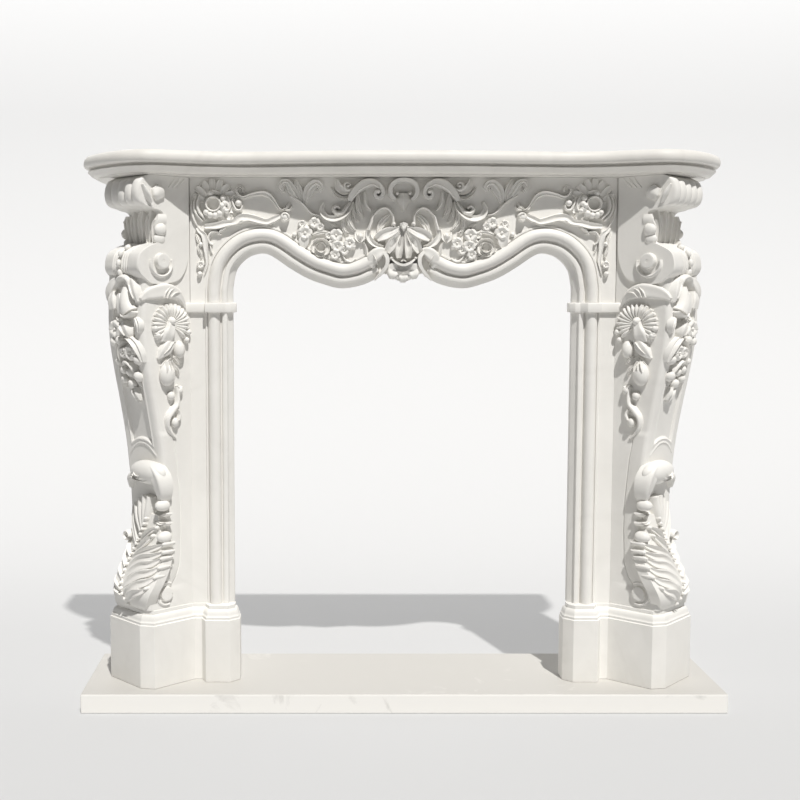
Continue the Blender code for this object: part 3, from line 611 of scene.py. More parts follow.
def shaft_body():
    """The console from its foot to under the capital, its panel, and the band along its side's front edge."""
    back = where_side_meets_x(W0, FRIEZE_HALF) - 0.0015
    across = np.linspace(0, 1, 60)
    runs = [np.linspace(*run) for run in ((0, 0.33, 50), (0.33, 0.42, 50), (0.42, 0.80, 70))]
    shares = np.unique(np.concatenate(runs))
    rings = []
    for share in shares:
        depth = float(front_depth(share))
        z = LEG_Z + share * LEG_HEIGHT
        proud = 0.0022 * float(step_up(z, 0.262, 0.275) * (1 - step_up(z, 0.628, 0.642)))
        line = max(float(np.interp(z, BAND_LINE[:, 0], BAND_LINE[:, 1])), depth + 0.024)
        section = [(W0, back), (W0, line + 0.0040), (W0 + proud * 0.6, line + 0.0022)]
        section += [(W0 + proud * 0.6, line + 0.0012), (W0 - proud * 0.7, line - 0.0006)]
        section += [(W0 - proud, line - 0.0020), (W0 - proud, depth + 0.0155)]
        for x in across:
            w = W0 + (W1 - W0) * x
            inner = min((w - W0) / 0.018, 1)
            outer = min((W1 - w) / 0.008, 1)
            d = depth + 0.003 - 0.010 * x
            d += 0.010 * (1 - math.sqrt(max(1 - (1 - inner) ** 2, 0)))
            d += 0.005 * (1 - math.sqrt(max(1 - (1 - outer) ** 2, 0)))
            d += panel_relief(w, share)
            section.append((w - proud * (1 - inner), d))
        section.append((W1, 0.075))
        rings.append(at_level([console_point(w, d) for w, d in section], z))
    return stack(rings)


CAPITAL_SCALE = 0.9993
CAPITAL_Z = LEG_Z + 0.755 * LEG_HEIGHT
CAPITAL_W0 = W0 - 0.006
CAPITAL_W1 = W1 + 0.006


def back_depth(w):
    """How deep the console may run at w before it leaves the stone of the strip and the return."""
    at_strip_back = (STRIP_BACK_Y - CORNER.y - ALONG_FRONT.y * w) / INWARD.y
    return max(at_strip_back, where_side_meets_x(w, RETURN_X - BASE_INSET - RETURN_THICK)) - 0.001


def capital_outline():
    """Side outline of the capital as (depth, rise above its foot): two rolls and a hollow neck."""
    back = where_side_meets_x(CAPITAL_W0, FRIEZE_HALF) - 0.001
    line = [
        (back, 0.082),
        (back - 0.004, 0.052),
        (back - 0.016, 0.024),
        (back - 0.034, 0.008),
        (0.066, 0.001),
        (0.034, 0.001),
        (0.010, 0.012),
        (-0.007, 0.028),
        (-0.010, 0.046),
        (-0.002, 0.070),
        (0.024, 0.086),
        (0.056, 0.098),
        (0.065, 0.126),
        (0.060, 0.162),
        (0.030, 0.171),
        (0.000, 0.180),
        (-0.009, 0.204),
        (-0.002, 0.230),
        (0.014, 0.2405),
    ]
    line = [tuple(p) for p in smooth_path(line, 7)]
    return line + [(0.024, 0.2439), (back, 0.2439)]


def roll_cut(t, rise):
    """How far the rolls are cut back at a share of the width: flutes above, rings and a barrel below."""
    flutes = 0.0075 * (1 - abs(math.sin(5 * math.pi * t)) ** 0.55)
    middle = abs(t - 0.5)
    rings = 0.0050 * max(math.exp(-(((middle - at) / 0.012) ** 2)) for at in (0.07, 0.14, 0.20))
    barrel = 0.0030 * (middle / 0.5) ** 2
    channel = 0.0028 * math.exp(-((middle / 0.035) ** 4))
    above = float(step_up(rise, 0.10, 0.14))
    return flutes * above + (rings + barrel + channel) * (1 - above)


def capital_body():
    """The console's scrolled head: an upper roll cut with flutes, a neck, a lower roll tied by rings."""
    outline = capital_outline()
    shares = np.unique(np.concatenate([np.linspace(0, 1, 71), np.linspace(0.28, 0.72, 60)]))
    rings = []
    for t in shares:
        w = CAPITAL_W0 + (CAPITAL_W1 - CAPITAL_W0) * t
        edge = 0.0022 * (1 - min(1, t * 40, (1 - t) * 40))
        ring = []
        for d, rise in outline:
            in_height = step_up(rise, 0.002, 0.014) * (1 - step_up(rise, 0.232, 0.240))
            weight = float(step_up(0.040 - d, 0, 0.016) * in_height)
            depth = d + roll_cut(t, rise) * weight + edge * (d < 0.07)
            x, y = console_point(w, min(depth, back_depth(w)))
            ring.append((x, y, CAPITAL_Z + rise * CAPITAL_SCALE))
        rings.append(ring)
    return stack(rings)


def mould_section():
    """Section of the moulding round the opening, as (distance from the opening, height above the field)."""
    torus = []
    for k in range(19):
        angle = math.pi * (1 - k / 18)
        torus.append((0.043 + 0.014 * math.cos(angle), 0.0015 + 0.0155 * math.sin(angle)))
    bead = [(0.0122, -0.0015), (0.0126, 0.0035), (0.0138, 0.0056), (0.0160, 0.0064)]
    bead += [(0.0215, 0.0064), (0.0238, 0.0052), (0.0248, 0.0030), (0.0252, 0.0)]
    return [(0.0, -0.0140), (0.0012, -0.0118), (0.0090, -0.0062)] + bead + [(0.0272, -0.0005)] + torus + [
        (0.0580, 0.0008), (0.0586, 0.0040), (0.0622, 0.0040), (MOULD_WIDTH, 0.0030)]


def strip_body():
    """The strip beside the opening, from plinth to cap: torus, bead and a field up to the console."""
    side_x, _ = console_point(W0, where_side_meets_x(W0, FRIEZE_HALF + 0.03))
    back = STRIP_BACK_Y - 0.0004
    outline = [(OPENING_HALF, back)] + [(OPENING_HALF + s, FIELD_Y - h) for s, h in mould_section()]
    outline += [(OPENING_HALF + MOULD_WIDTH + 0.001, FIELD_Y), (side_x, FIELD_Y), (side_x, back)]
    return stack([at_level(outline, LEG_Z), at_level(outline, CAP_TOP - 0.012)])


def cap_body():
    """The small cap that the frieze's drop stands on."""
    step = OPENING_HALF + MOULD_WIDTH
    front = FIELD_Y - 0.025
    inner = OPENING_HALF - 0.008
    outline = [
        (inner, STRIP_BACK_Y),
        (inner, front + 0.030),
        (inner + 0.012, front + 0.018),
        (inner + 0.024, front + 0.016),
        (inner + 0.038, front),
        (step, front),
        (step + 0.002, FIELD_Y - 0.009),
        (FRIEZE_HALF + 0.02, FIELD_Y - 0.009),
        (FRIEZE_HALF + 0.02, STRIP_BACK_Y),
    ]
    low = CAP_TOP - 0.023
    rings = []
    steps = ((0.0022, 0), (0.0006, 0.0008), (0, 0.0024), (0, 0.0200), (0.0008, 0.0218), (0.0020, 0.0227))
    for inset, rise in steps:
        ring = eased(offset_outline(outline, inset), 0.001)
        ring[:, 1] = np.minimum(ring[:, 1], STRIP_BACK_Y)
        rings.append(at_level(ring, low + rise))
    return stack(rings)


def core_body():
    """The backbone behind the console, with the return that runs back to the wall."""
    w0 = W0 + 0.001
    w1 = W1 - 0.001
    inner_x = FRIEZE_HALF + 0.0008
    panel_x = RETURN_X - BASE_INSET
    outline = [
        (inner_x, STRIP_BACK_Y - 0.0005),
        console_point(w0, where_side_meets_x(w0, inner_x)),
        console_point(w0, 0.070),
        console_point(w1, 0.070),
        console_point(w1, max(where_side_meets_x(w1, panel_x), 0.072)),
        (panel_x, WALL_Y),
        (panel_x - RETURN_THICK, WALL_Y),
        (panel_x - RETURN_THICK, STRIP_BACK_Y - 0.0005),
    ]
    return stack([at_level(outline, LEG_Z), at_level(outline, LEG_TOP)])


def from_corner(w, depth, z):
    """Points w along the console's front, depth inwards from it, at heights z."""
    x = CORNER.x + ALONG_FRONT.x * w + INWARD.x * depth
    y = CORNER.y + ALONG_FRONT.y * w + INWARD.y * depth
    return np.column_stack([x, y, z])


def on_front(u, v, height):
    """u along the console's front, v up from the floor, height out from the face."""
    share = (v - LEG_Z) / LEG_HEIGHT
    return from_corner(u, front_depth(share) + 0.003 - 0.010 * (u - W0) / (W1 - W0) - height, v)


def on_side(u, v, height):
    """u inwards along the console's side, v up from the floor, height out from the face."""
    return from_corner(W0 - height, u, v)


def on_capital_side(u, v, height):
    return on_side(u, v, height + W0 - CAPITAL_W0)


def on_neck(u, v, height):
    """u along the front, v up from the floor, height out from the hollow neck of the capital."""
    return from_corner(u, 0.066 - height, v)


LEAF_DEPTH = smooth_path([
    (215, 14), (228, 9), (240, 1), (258, -5), (276, -4), (296, 5),
    (318, 16), (345, 28), (380, 38), (420, 44), (470, 48), (560, 50),
], 8)


def on_leaf(u, v, height):
    """u along the front, v up from the floor, height out from the foot leaf's own swelling surface."""
    depth = np.interp(v / MM, LEAF_DEPTH[:, 0], LEAF_DEPTH[:, 1]) * MM
    return from_corner(u, depth + 0.020 * (np.abs(u - 0.070) / 0.080) ** 2.2 - height, v)


ROLL_POINTS = [(d / MM, (CAPITAL_Z + rise) / MM) for d, rise in capital_outline()[28:70]]
LOWER_ROLL = resample(ROLL_POINTS, 60)
LOWER_RUN = run_length(LOWER_ROLL)
LOWER_OUT = np.gradient(LOWER_ROLL, axis=0)
LOWER_OUT = np.column_stack([-LOWER_OUT[:, 1], LOWER_OUT[:, 0]]) / np.linalg.norm(LOWER_OUT, axis=1)[:, None]


def on_lower_roll(u, v, height):
    """u along the front, v along the roll's own curve from below to its back, height out from it."""
    base = [np.interp(v / MM, LOWER_RUN, LOWER_ROLL[:, k]) * MM for k in (0, 1)]
    out = [np.interp(v / MM, LOWER_RUN, LOWER_OUT[:, k]) for k in (0, 1)]
    return from_corner(u, base[0] + out[0] * height, base[1] + out[1] * height)


def foot_leaf():
    """The acanthus at the foot: a swelling mass, lobes that sweep up and out from a beaded midrib, a hood."""
    art = Carving(on_leaf, 26)
    spine = [(74, 232), (70, 262), (68, 300), (68, 350), (66, 400), (66, 446)]
    art.blade(spine, (48, 70, 74, 68, 52, 40), (2, 2, 2, 2, 1, 0), "flat")
    # lobes of the inner side, from the root up: each runs from the midrib to the edge by the side face
    inner = [
        [(78, 244), (58, 257), (36, 270), (18, 276), (8, 284)],
        [(84, 256), (62, 272), (36, 288), (12, 297), (-4, 309)],
        [(92, 272), (72, 290), (42, 309), (12, 318), (-6, 330)],
        [(98, 288), (80, 310), (48, 328), (16, 337), (-5, 350)],
        [(102, 310), (78, 330), (48, 345), (18, 353), (-6, 364)],
        [(96, 336), (72, 350), (44, 362), (18, 372), (-3, 382)],
        [(86, 358), (66, 371), (46, 386), (30, 398)],
        [(76, 382), (58, 396), (38, 409), (20, 418)],
    ]
    for path, wide in zip(inner, (10, 11, 11, 11, 10.5, 9.5, 8.5, 7.5)):
        art.blade(path, (wide * 0.4, wide * 0.85, wide, wide * 0.9, 3), (3, 8, 12, 14, 9), "fold_back")
        art.knob(path[-1], 4.5, 12, 1, 0, 14)
    # lobes of the outer side
    outer = [
        [(84, 248), (104, 252), (122, 256), (132, 266)],
        [(92, 262), (114, 268), (134, 276), (146, 290)],
        [(100, 284), (120, 292), (138, 302), (148, 318)],
        [(106, 308), (122, 318), (136, 332), (142, 350)],
        [(102, 334), (116, 344), (128, 358), (132, 374)],
    ]
    for path, wide in zip(outer, (11, 13, 13, 11, 10)):
        art.blade(path, (wide * 0.4, wide * 0.85, wide * 0.9, 3), (4, 10, 13, 8), "fold")
    art.blade([(88, 372), (103, 398), (118, 428), (130, 454)], (4, 8, 8, 2.5), (7, 12, 13, 8), "cup")
    # the tip's fan of ridges, in the hollow under the hood
    ridges = [
        [(62, 420), (54, 452), (48, 487)],
        [(66, 416), (66, 450), (66, 488)],
        [(70, 410), (80, 446), (85, 480)],
        [(76, 404), (94, 436), (106, 468)],
    ]
    for path in ridges:
        art.blade(path, (5, 8, 7.5), (9, 13, 12), "round")
    midrib = [
        (72, 236), (84, 256), (97, 278), (105, 304), (103, 328),
        (93, 354), (81, 378), (69, 400), (61, 418), (54, 436),
    ]
    for u, v in resample(smooth_path(midrib, 8), 17):
        art.knob((u, v), 3.6, 10.5 + 0.02 * (v - 236), 1.35, 0, 12)
    # the hood: a smooth dome with rolled folds under it, one leg draped on the inner side
    art.place, art.sink = on_front, 8
    art.knob((51, 544), 57, 37, 0.50, 0, 44)
    for reach, rise, height in ((34, 533, 31), (24, 540, 35), (14, 546, 38)):
        arc = [(60 + reach * math.cos(a), rise - 9 * math.sin(a)) for a in np.radians(np.linspace(8, 172, 7))]
        art.blade(arc, (1.2, 2.4, 2.8, 2.4, 1.2), [height + step for step in (-1, 1, 1, 1, -1)], "round")
    drape = [(46, 562), (24, 551), (9, 530), (8, 503), (15, 482)]
    art.blade(drape, (7, 15, 18, 16, 9), (22, 33, 34, 28, 17), "petal")
    art.blade([(98, 540), (120, 524), (130, 500)], (8, 12, 5), (18, 19, 9), "round")
    for centre in ((9, 470), (4, 397)):
        art.knob(centre, 13, 30, 1.05)
    art.blade([(34, 452), (14, 446), (-2, 452)], (3, 5, 2), (16, 20, 16), "leaf")
    art.blade([(36, 432), (14, 425), (-2, 430)], (3, 6, 2), (17, 22, 17), "leaf")
    art.ring((128, 386), 10, 4.5, 26, first=-80, turn=270)
    return art.body()


def front_garland():
    """Bellflower, leaves, open flowers and buds that hang down the console's knee."""
    art = Carving(on_front, 5)
    table = [
        # cap with its opening, the leaves beside it
        ([(92, 972), (84, 988), (68, 994), (52, 989), (46, 974)],
         (4, 7, 8, 7, 4), (14, 19, 21, 19, 14), "round"),
        ([(52, 992), (40, 978), (30, 958), (22, 938)], (6, 12, 12, 4), (10, 16, 17, 9), "petal"),
        ([(42, 976), (33, 960), (27, 946)], (1.4, 2, 1), (17, 18.5, 15), "round"),
        ([(92, 992), (110, 980), (124, 960), (130, 940)], (5, 12, 12, 4), (10, 15, 15, 8), "petal"),
        # two bellflowers: a wide one in front and a small one on the outer side
        ([(61, 972), (60, 946), (54, 924), (47, 912)], (9, 15, 18, 24), (15, 22, 24, 22), "round"),
        ([(28, 916), (40, 908), (56, 905), (70, 912)], (2.5, 3.6, 3.6, 2.5), (18, 24, 24, 18), "round"),
        ([(88, 956), (80, 934), (76, 914)], (6, 11, 12), (12, 17, 15), "petal"),
        ([(111, 962), (110, 940), (108, 922)], (7, 12, 13), (11, 17, 14), "petal"),
        # leaves under them
        ([(30, 902), (20, 886), (22, 868)], (5, 9, 3), (10, 14, 8), "leaf"),
        ([(96, 902), (86, 896), (76, 900)], (4, 7, 3), (11, 14, 10), "leaf"),
        ([(70, 892), (62, 880), (55, 867), (56, 856)], (7, 13, 12, 4), (14, 21, 20, 11), "petal"),
        ([(70, 884), (62, 872), (57, 862)], (1.4, 2, 1), (21, 24, 19), "round"),
        # the large leaf that sweeps down both sides of the lower flowers
        ([(64, 858), (46, 854), (29, 842), (20, 822), (19, 802)],
         (3, 5.5, 6.5, 5.5, 2), (13, 18, 19, 15, 8), "fold"),
        ([(78, 850), (92, 836), (99, 814), (95, 794)], (4, 7, 7, 2.5), (11, 15, 14, 8), "fold_back"),
        ([(88, 796), (76, 801), (62, 796), (51, 780), (48, 770)],
         (3, 5, 6, 5, 2.5), (11, 16, 17, 14, 9), "round"),
        # the two long petals of its foot
        ([(74, 738), (68, 726), (61, 708)], (4, 6.5, 2), (10, 13, 6), "round"),
        ([(62, 742), (58, 728), (54, 712)], (3, 5.5, 2), (9, 12, 6), "round"),
        ([(56, 768), (48, 757), (44, 744)], (3, 5, 2), (7, 10, 5), "leaf"),
        ([(92, 770), (104, 756), (104, 740)], (4, 7, 2), (8, 11, 5), "leaf"),
    ]
    art.forms(table)
    art.flower((100, 876), 20, 17, 4, 0.5, 0.24)
    art.flower((52, 822), 18, 19, 5, 0.2, 0.26)
    art.flower((80, 822), 13, 15, 5, 0.7, 0.26)
    buds = [
        (111, 846, 10, 16), (89, 850, 10, 17), (33, 806, 10, 17), (90, 781, 9, 15), (42, 768, 11, 17),
        (95, 760, 9, 14), (70, 750, 10, 15), (70, 776, 9, 15), (106, 800, 8, 13),
    ]
    for u, v, radius, height in buds:
        art.knob((u, v), radius, height, 1.1)
    return art.body()


def side_cluster():
    """Shell under a leaf hood, tongue, fruit and a curled tail on the console's side."""
    art = Carving(on_side, 4)
    table = [
        # hood: one broad smooth sheet, arched over the shell, with a few ridges near its crown
        ([(4, 944), (20, 954), (42, 960), (72, 963), (100, 954), (117, 938), (125, 925)],
         (4, 13, 17, 18, 15, 8, 2), (4, 9, 13, 17, 16, 11, 5), "petal"),
        ([(58, 948), (64, 962), (78, 974)], (1.2, 2, 1), (16, 18.5, 14), "round"),
        ([(66, 947), (74, 962), (90, 970)], (1.2, 2, 1), (17, 19, 14), "round"),
        ([(76, 948), (88, 958), (104, 960)], (1.2, 2, 1), (17, 18.5, 14), "round"),
        # tongue and the leaf below it
        ([(80, 898), (76, 878), (70, 862), (66, 846)], (8, 12, 17, 15), (16, 22, 23, 14), "petal"),
        ([(84, 856), (74, 840), (60, 824), (46, 809)], (6, 14, 13, 2.5), (13, 19, 18, 8), "petal"),
        ([(80, 846), (68, 832), (56, 820)], (1.2, 2, 1), (19, 21, 16), "round"),
        # small leaf tips between the fruit and the bulb
        ([(80, 812), (68, 802), (56, 790)], (4, 7, 2), (10, 14, 7), "leaf"),
        ([(90, 812), (100, 804), (110, 792)], (4, 7, 2), (10, 14, 7), "leaf"),
        ([(88, 794), (98, 782), (104, 768)], (4, 6, 2), (10, 13, 7), "leaf"),
        # tail with its inner curl
        ([(96, 742), (99, 722), (96, 702), (82, 686), (71, 670), (72, 648), (84, 632), (96, 622)],
         (4, 5, 7, 8, 7, 5, 3.5, 1.5), (9, 12, 14, 15, 14, 11, 8, 4), "round"),
        ([(98, 690), (103, 678), (98, 664)], (3, 5, 4), (12, 14, 12), "round"),
        ([(96, 746), (104, 738), (112, 742)], (3, 4, 2), (9, 11, 8), "round"),
    ]
    art.forms(table)
    art.blade([(82, 846), (82, 882), (82, 916)], (36, 49, 36), (7, 9, 7), "petal")
    art.fan((82, 886), 50, 15, -40, 220, 19, 0.96, 0.2, "round")
    for centre in ((44, 862), (38, 878), (124, 850), (130, 868)):
        art.knob(centre, 7.5, 15)
    art.knob((80, 894), 10, 24)
    art.knob((103, 828), 14, 22, 1.5)
    art.knob((69, 772), 20, 24, 1.35)
    for lean in (-1, 0, 1):
        rib = [(70 + 5 * lean, 802), (70 + 9 * lean, 790), (69 + 11 * lean, 778)]
        art.blade(rib, (1.2, 2.2, 1), (20, 25, 23), "round")
    art.knob((81, 722), 9.5, 14, 1.1)
    art.knob((105, 733), 9, 13, 1.1)
    art.knob((90, 660), 9, 15, 1.3)
    art.ring((64, 261), 9, 9, 7, "flat")
    art.knob((64, 261), 4, 7.2, 1, 0, 16)
    art.ring((64, 261), 26, 3.2, 4.5, first=60, turn=230)
    return art.body()


def capital_eyes():
    """The raised eye of the lower roll, the lobes at the end of the upper one, and a low leaf."""
    art = Carving(on_capital_side, 3)
    art.ring((55, 1030), 9.5, 9.5, 14, "flat")
    art.knob((55, 1030), 4, 14.2, 1, 0, 16)
    art.ring((55, 1025), 29, 4, 7, first=165, turn=210)
    # a broad boxy lobe and a slender one beside it, at the end of the upper roll
    art.blade([(54, 1170), (48, 1183), (38, 1196)], (13, 17, 10), (7, 12, 7), "petal")
    art.blade([(28, 1160), (17, 1180), (6, 1200)], (3, 6, 3), (9, 14, 8), "round")
    for k in range(3):
        vein = [(78 + 12 * k, 1196), (90 + 12 * k, 1208), (96 + 14 * k, 1219)]
        art.blade(vein, (1.5, 3, 1), (1.6, 2.2, 1.0), "ridge")
    return art.body()


def neck_shell():
    """Upright shell lobes in the capital's hollow neck, with a rolled rim below them."""
    art = Carving(on_neck, 5)
    # long lobes that narrow downwards, the middle one tallest
    lobes = [
        (77, 0, 1152, 14), (48, -5, 1146, 13), (106, 5, 1146, 13),
        (22, -8, 1136, 12), (132, 8, 1136, 12),
    ]
    for w, lean, tall, wide in lobes:
        path = [(w - lean, 1050), (w - lean * 0.6, 1076), (w, 1108), (w + lean, tall - 12), (w + lean, tall)]
        art.blade(path, (6, 9, wide, wide * 0.95, wide * 0.5), (14, 19, 23, 24, 16), "petal")
        art.blade(path[:4], (1, 1.6, 1.8, 1), (15, 20.5, 24.5, 24), "round")
    # rim of small lobes that climbs to the side
    rim_lobes = [
        (9, 1101), (14, 1080), (25, 1064), (42, 1055), (60, 1050),
        (96, 1051), (116, 1059), (134, 1073), (144, 1095),
    ]
    for centre in rim_lobes:
        art.knob(centre, 9.5, 26, 1.5)
    art.blade([(8, 1050), (77, 1046), (146, 1050)], (7, 7, 7), (18, 18, 18), "round")
    return art.body()


def roll_beads():
    """Bead chains round the middle of the lower roll, between its rings."""
    art = Carving(on_lower_roll, 3)
    for k in range(9):
        art.knob((77, 14 + 22 * k), 6.2, 9, 1.4, 0, 14)
    return art.body()


# Frieze


def opening_line():
    """The opening's edge on the right, as (x, z): up the drop, over the crown, down to the middle."""
    x = OPENING_HALF
    crown = CAP_TOP + 0.112
    low = CAP_TOP + 0.032
    points = [
        (x, CAP_TOP + 0.033),
        (x - 0.008, CAP_TOP + 0.072),
        (x - 0.027, crown - 0.015),
        (x - 0.052, crown - 0.001),
        (x - 0.084, crown - 0.001),
        (x - 0.132, crown - 0.032),
        (x - 0.170, crown - 0.054),
        (x - 0.206, low + 0.012),
        (x - 0.252, low + 0.001),
        (x - 0.302, low + 0.009),
        (x - 0.345, low + 0.029),
    ]
    return np.vstack([[(x, CAP_TOP)], smooth_path(points, 9)])


def line_sides(line):
    ahead = np.gradient(line, axis=0)
    ahead /= np.linalg.norm(ahead, axis=1)[:, None]
    out = np.column_stack([ahead[:, 1], -ahead[:, 0]])
    out[0] = (1, 0)
    return out


def board_body():
    """The plain board of the frieze, from the drops to the shelf, cut to the opening's line."""
    line = opening_line()
    inner = line + 0.03 * line_sides(line)
    right = [(x, z) for x, z in inner if x > 0.11]
    half = [(FRIEZE_HALF - 0.0003, CAP_TOP), (right[0][0], CAP_TOP)] + right[1:]
    tip = [(0.085, 0.072), (0.050, 0.068), (0.034, 0.065), (0.027, 0.058), (0.010, 0.053)]
    half += [(x, CAP_TOP + rise) for x, rise in tip]
    outline = half + [(-x, z) for x, z in reversed(half)]
    outline += [(-FRIEZE_HALF + 0.0003, LEG_TOP), (FRIEZE_HALF - 0.0003, LEG_TOP)]
    return stack([[(x, y, z) for x, z in outline] for y in (FIELD_Y, STRIP_BACK_Y)])


def mould_body(side):
    """The moulding swept along the opening's line, from the drop's foot to its scroll by the middle."""
    line = opening_line()
    thick = STRIP_BACK_Y - FIELD_Y - 0.0004
    section = [(s, -h) for s, h in mould_section()]
    section += [(MOULD_WIDTH, 0.010), (0.034, 0.012), (0.034, thick), (0.0, thick)]
    rings = []
    for (x, z), normal in zip(line, line_sides(line)):
        rings.append([(side * (x + normal[0] * s), FIELD_Y + h, z + normal[1] * s) for s, h in section])
    return stack(rings)


def on_frieze(u, v, height):
    """u to the right, v up from the floor, height out from the field."""
    return np.column_stack([u, FIELD_Y - height, np.minimum(v, LEG_TOP)])


def centre_carving():
    """Right half of the middle: volute, leaves, palmette, C-frame, ring, and the shell below."""
    art = Carving(on_frieze, 5)
    top = 1110
    table = [
        # volute and the leaves that spring from it
        ([(124, 58), (119, 71), (105, 87), (91, 97), (73, 101), (56, 94),
          (48, 81), (51, 69), (60, 66), (66, 73), (63, 81), (59, 79)],
         (6, 9, 10, 11, 11.5, 10, 8, 6, 5, 4.5, 4, 3.5),
         (14, 18, 21, 23, 24, 24, 22, 20, 19, 19, 19, 19), "flat"),
        ([(116, 66), (100, 84), (74, 95), (56, 88)], (2, 3.5, 4, 2), (19, 24, 27, 24), "round"),
        ([(89, 78), (88, 59), (82, 45), (74, 37)], (4, 5.5, 5, 2), (18, 20, 18, 9), "ridge"),
        ([(104, 74), (105, 54), (102, 37), (92, 20)], (4, 7.5, 7, 2), (18, 20, 19, 10), "leaf"),
        ([(114, 56), (115, 36), (110, 20), (102, 10)], (3, 5, 5, 2), (10, 12, 12, 8), "leaf"),
        ([(121, 46), (127, 26), (122, 6), (111, -8)], (4, 6.5, 7, 3), (14, 17, 17, 9), "leaf"),
        ([(130, 34), (139, 12), (137, -6), (126, -15)], (3, 6, 6, 2), (10, 13, 13, 7), "leaf"),
        ([(117, 72), (137, 66), (155, 73), (166, 90)], (3, 5, 5, 2), (16, 16, 14, 7), "fold_back"),
        ([(121, 78), (139, 81), (150, 92), (154, 108)], (4, 9, 10, 4), (16, 20, 20, 10), "cup"),
        ([(113, 88), (127, 83), (136, 89), (133, 99), (124, 98), (125, 91)],
         (3, 5, 6, 5, 4, 3), (14, 17, 18, 17, 16, 15), "round"),
        ([(118, 58), (127, 39), (143, 25), (163, 19), (181, 25), (188, 40), (183, 56)],
         (4, 7, 9, 9, 8, 7, 3), (16, 21, 22, 20, 18, 14, 8), "fold_back"),
        ([(122, 56), (131, 43), (141, 32), (154, 31), (161, 40), (155, 47), (146, 42)],
         (3, 6, 7, 7, 6, 5, 3), (14, 17, 19, 20, 19, 18, 17), "round"),
        # C-frame with its leaf and the arm that sweeps under
        ([(24, 8), (25, 25), (33, 38), (45, 43), (59, 37), (70, 24), (75, 7), (80, -8)],
         (4, 3.4, 3.4, 3.4, 3.6, 4, 4.5, 5), (20, 20, 21, 21, 20, 20, 20, 20), "round"),
        ([(77, 2), (82, -18), (74, -34), (60, -43), (46, -46)], (4, 7, 8, 7, 4), (17, 21, 22, 22, 18), "cup"),
        ([(30, 28), (42, 18), (52, 4), (58, -12)], (3, 8, 9, 4), (8, 11, 11, 8), "leaf"),
        # smile under the palmette, and the broad leaf with its two tails
        ([(30, -70), (20, -80), (9, -86), (0, -88)], (1.5, 3.2, 4, 4), (18, 24, 27, 28), "petal"),
        ([(40, -56), (56, -59), (69, -70), (73, -84), (66, -94)],
         (6, 14, 16, 12, 4), (17, 24, 24, 19, 10), "petal"),
        ([(70, -64), (64, -76), (60, -88)], (1.5, 2.6, 1.2), (22, 26, 20), "round"),
        ([(46, -58), (38, -70), (38, -86), (46, -101), (58, -114), (66, -123)],
         (5, 6.5, 6, 5, 4, 1.5), (22, 25, 24, 21, 16, 9), "petal"),
        ([(91, -34), (86, -49), (84, -63), (81, -76)], (2, 5, 5, 2), (9, 13, 13, 7), "ridge"),
        # tulip bud
        ([(100, -34), (108, -26), (111, -12)], (4, 6, 2), (14, 18, 10), "cup"),
        ([(99, -34), (91, -24), (89, -11)], (4, 6, 2), (14, 18, 10), "cup"),
    ]
    art.forms(table, 0, top)
    art.knob((23, top + 6), 5.5, 23)
    art.knob((100, top - 22), 6, 17, 1.2)
    art.knob((128, top + 92), 4.5, 21)
    art.knob((59, top + 80), 6, 24)
    ring = [
        ([(0, 107), (15, 104), (27, 95), (31, 81), (27, 69), (18, 62)],
         (6.5, 6.5, 6.5, 6.5, 6, 4), (26, 26, 25, 24, 23, 20), "petal"),
    ]
    art.forms(ring, 0, top)
    art.knob((15, top + 76), 4.5, 20)
    palmette = [
        # the shield between the ring's ends
        ([(0, 76), (0, 62), (0, 47), (0, 34)], (13, 16, 9, 1.5), (15, 22, 21, 14), "ridge"),
        # a sheet under broad hollowed lobes with blunt ends
        ([(0, 2), (0, -20), (0, -44), (0, -64)], (12, 42, 40, 18), (14, 17, 18, 12), "flat"),
        ([(3, -6), (7, -24), (10, -42), (11, -57), (11, -67), (11, -72)],
         (3, 6, 8.5, 10.5, 10, 7), (22, 26, 30, 34, 35, 28), "cup"),
        ([(5, -8), (16, -24), (26, -38), (32, -48), (36, -55), (38, -59)],
         (3, 7, 10.5, 12.5, 12, 8), (20, 25, 28, 31, 30, 23), "cup"),
        ([(5, -3), (21, -8), (36, -14), (49, -20), (58, -25), (62, -28)],
         (3, 8, 12, 14, 13, 9), (20, 23, 25, 27, 27, 19), "cup"),
        # the bud that they spring from
        ([(-9, 4), (0, 5), (9, 4)], (3, 6, 3), (26, 34, 26), "petal"),
        ([(0, 3), (0, -5), (0, -12)], (8, 5.5, 1.5), (32, 34, 28), "petal"),
    ]
    art.forms(palmette, 0, top)
    art.knob((28, top - 72), 4, 22)
    skirt = [
        ([(-6, -80), (0, -77), (6, -80)], (1.5, 3, 1.5), (22, 27, 22), "round"),
        ([(0, -84), (0, -100), (0, -114), (0, -124)], (34, 41, 34, 12), (17, 15, 16, 14), "flat"),
        ([(0, -101), (0, -111), (0, -120), (0, -128)], (13.5, 15, 12.75, 5.25), (14, 18, 21, 16), "petal"),
        ([(20, -93), (23, -103), (25, -112), (26.5, -120)],
         (13.5, 15, 12.75, 5.25), (14, 18, 21, 16), "petal"),
    ]
    art.forms(skirt, 0, top)
    return art.body()


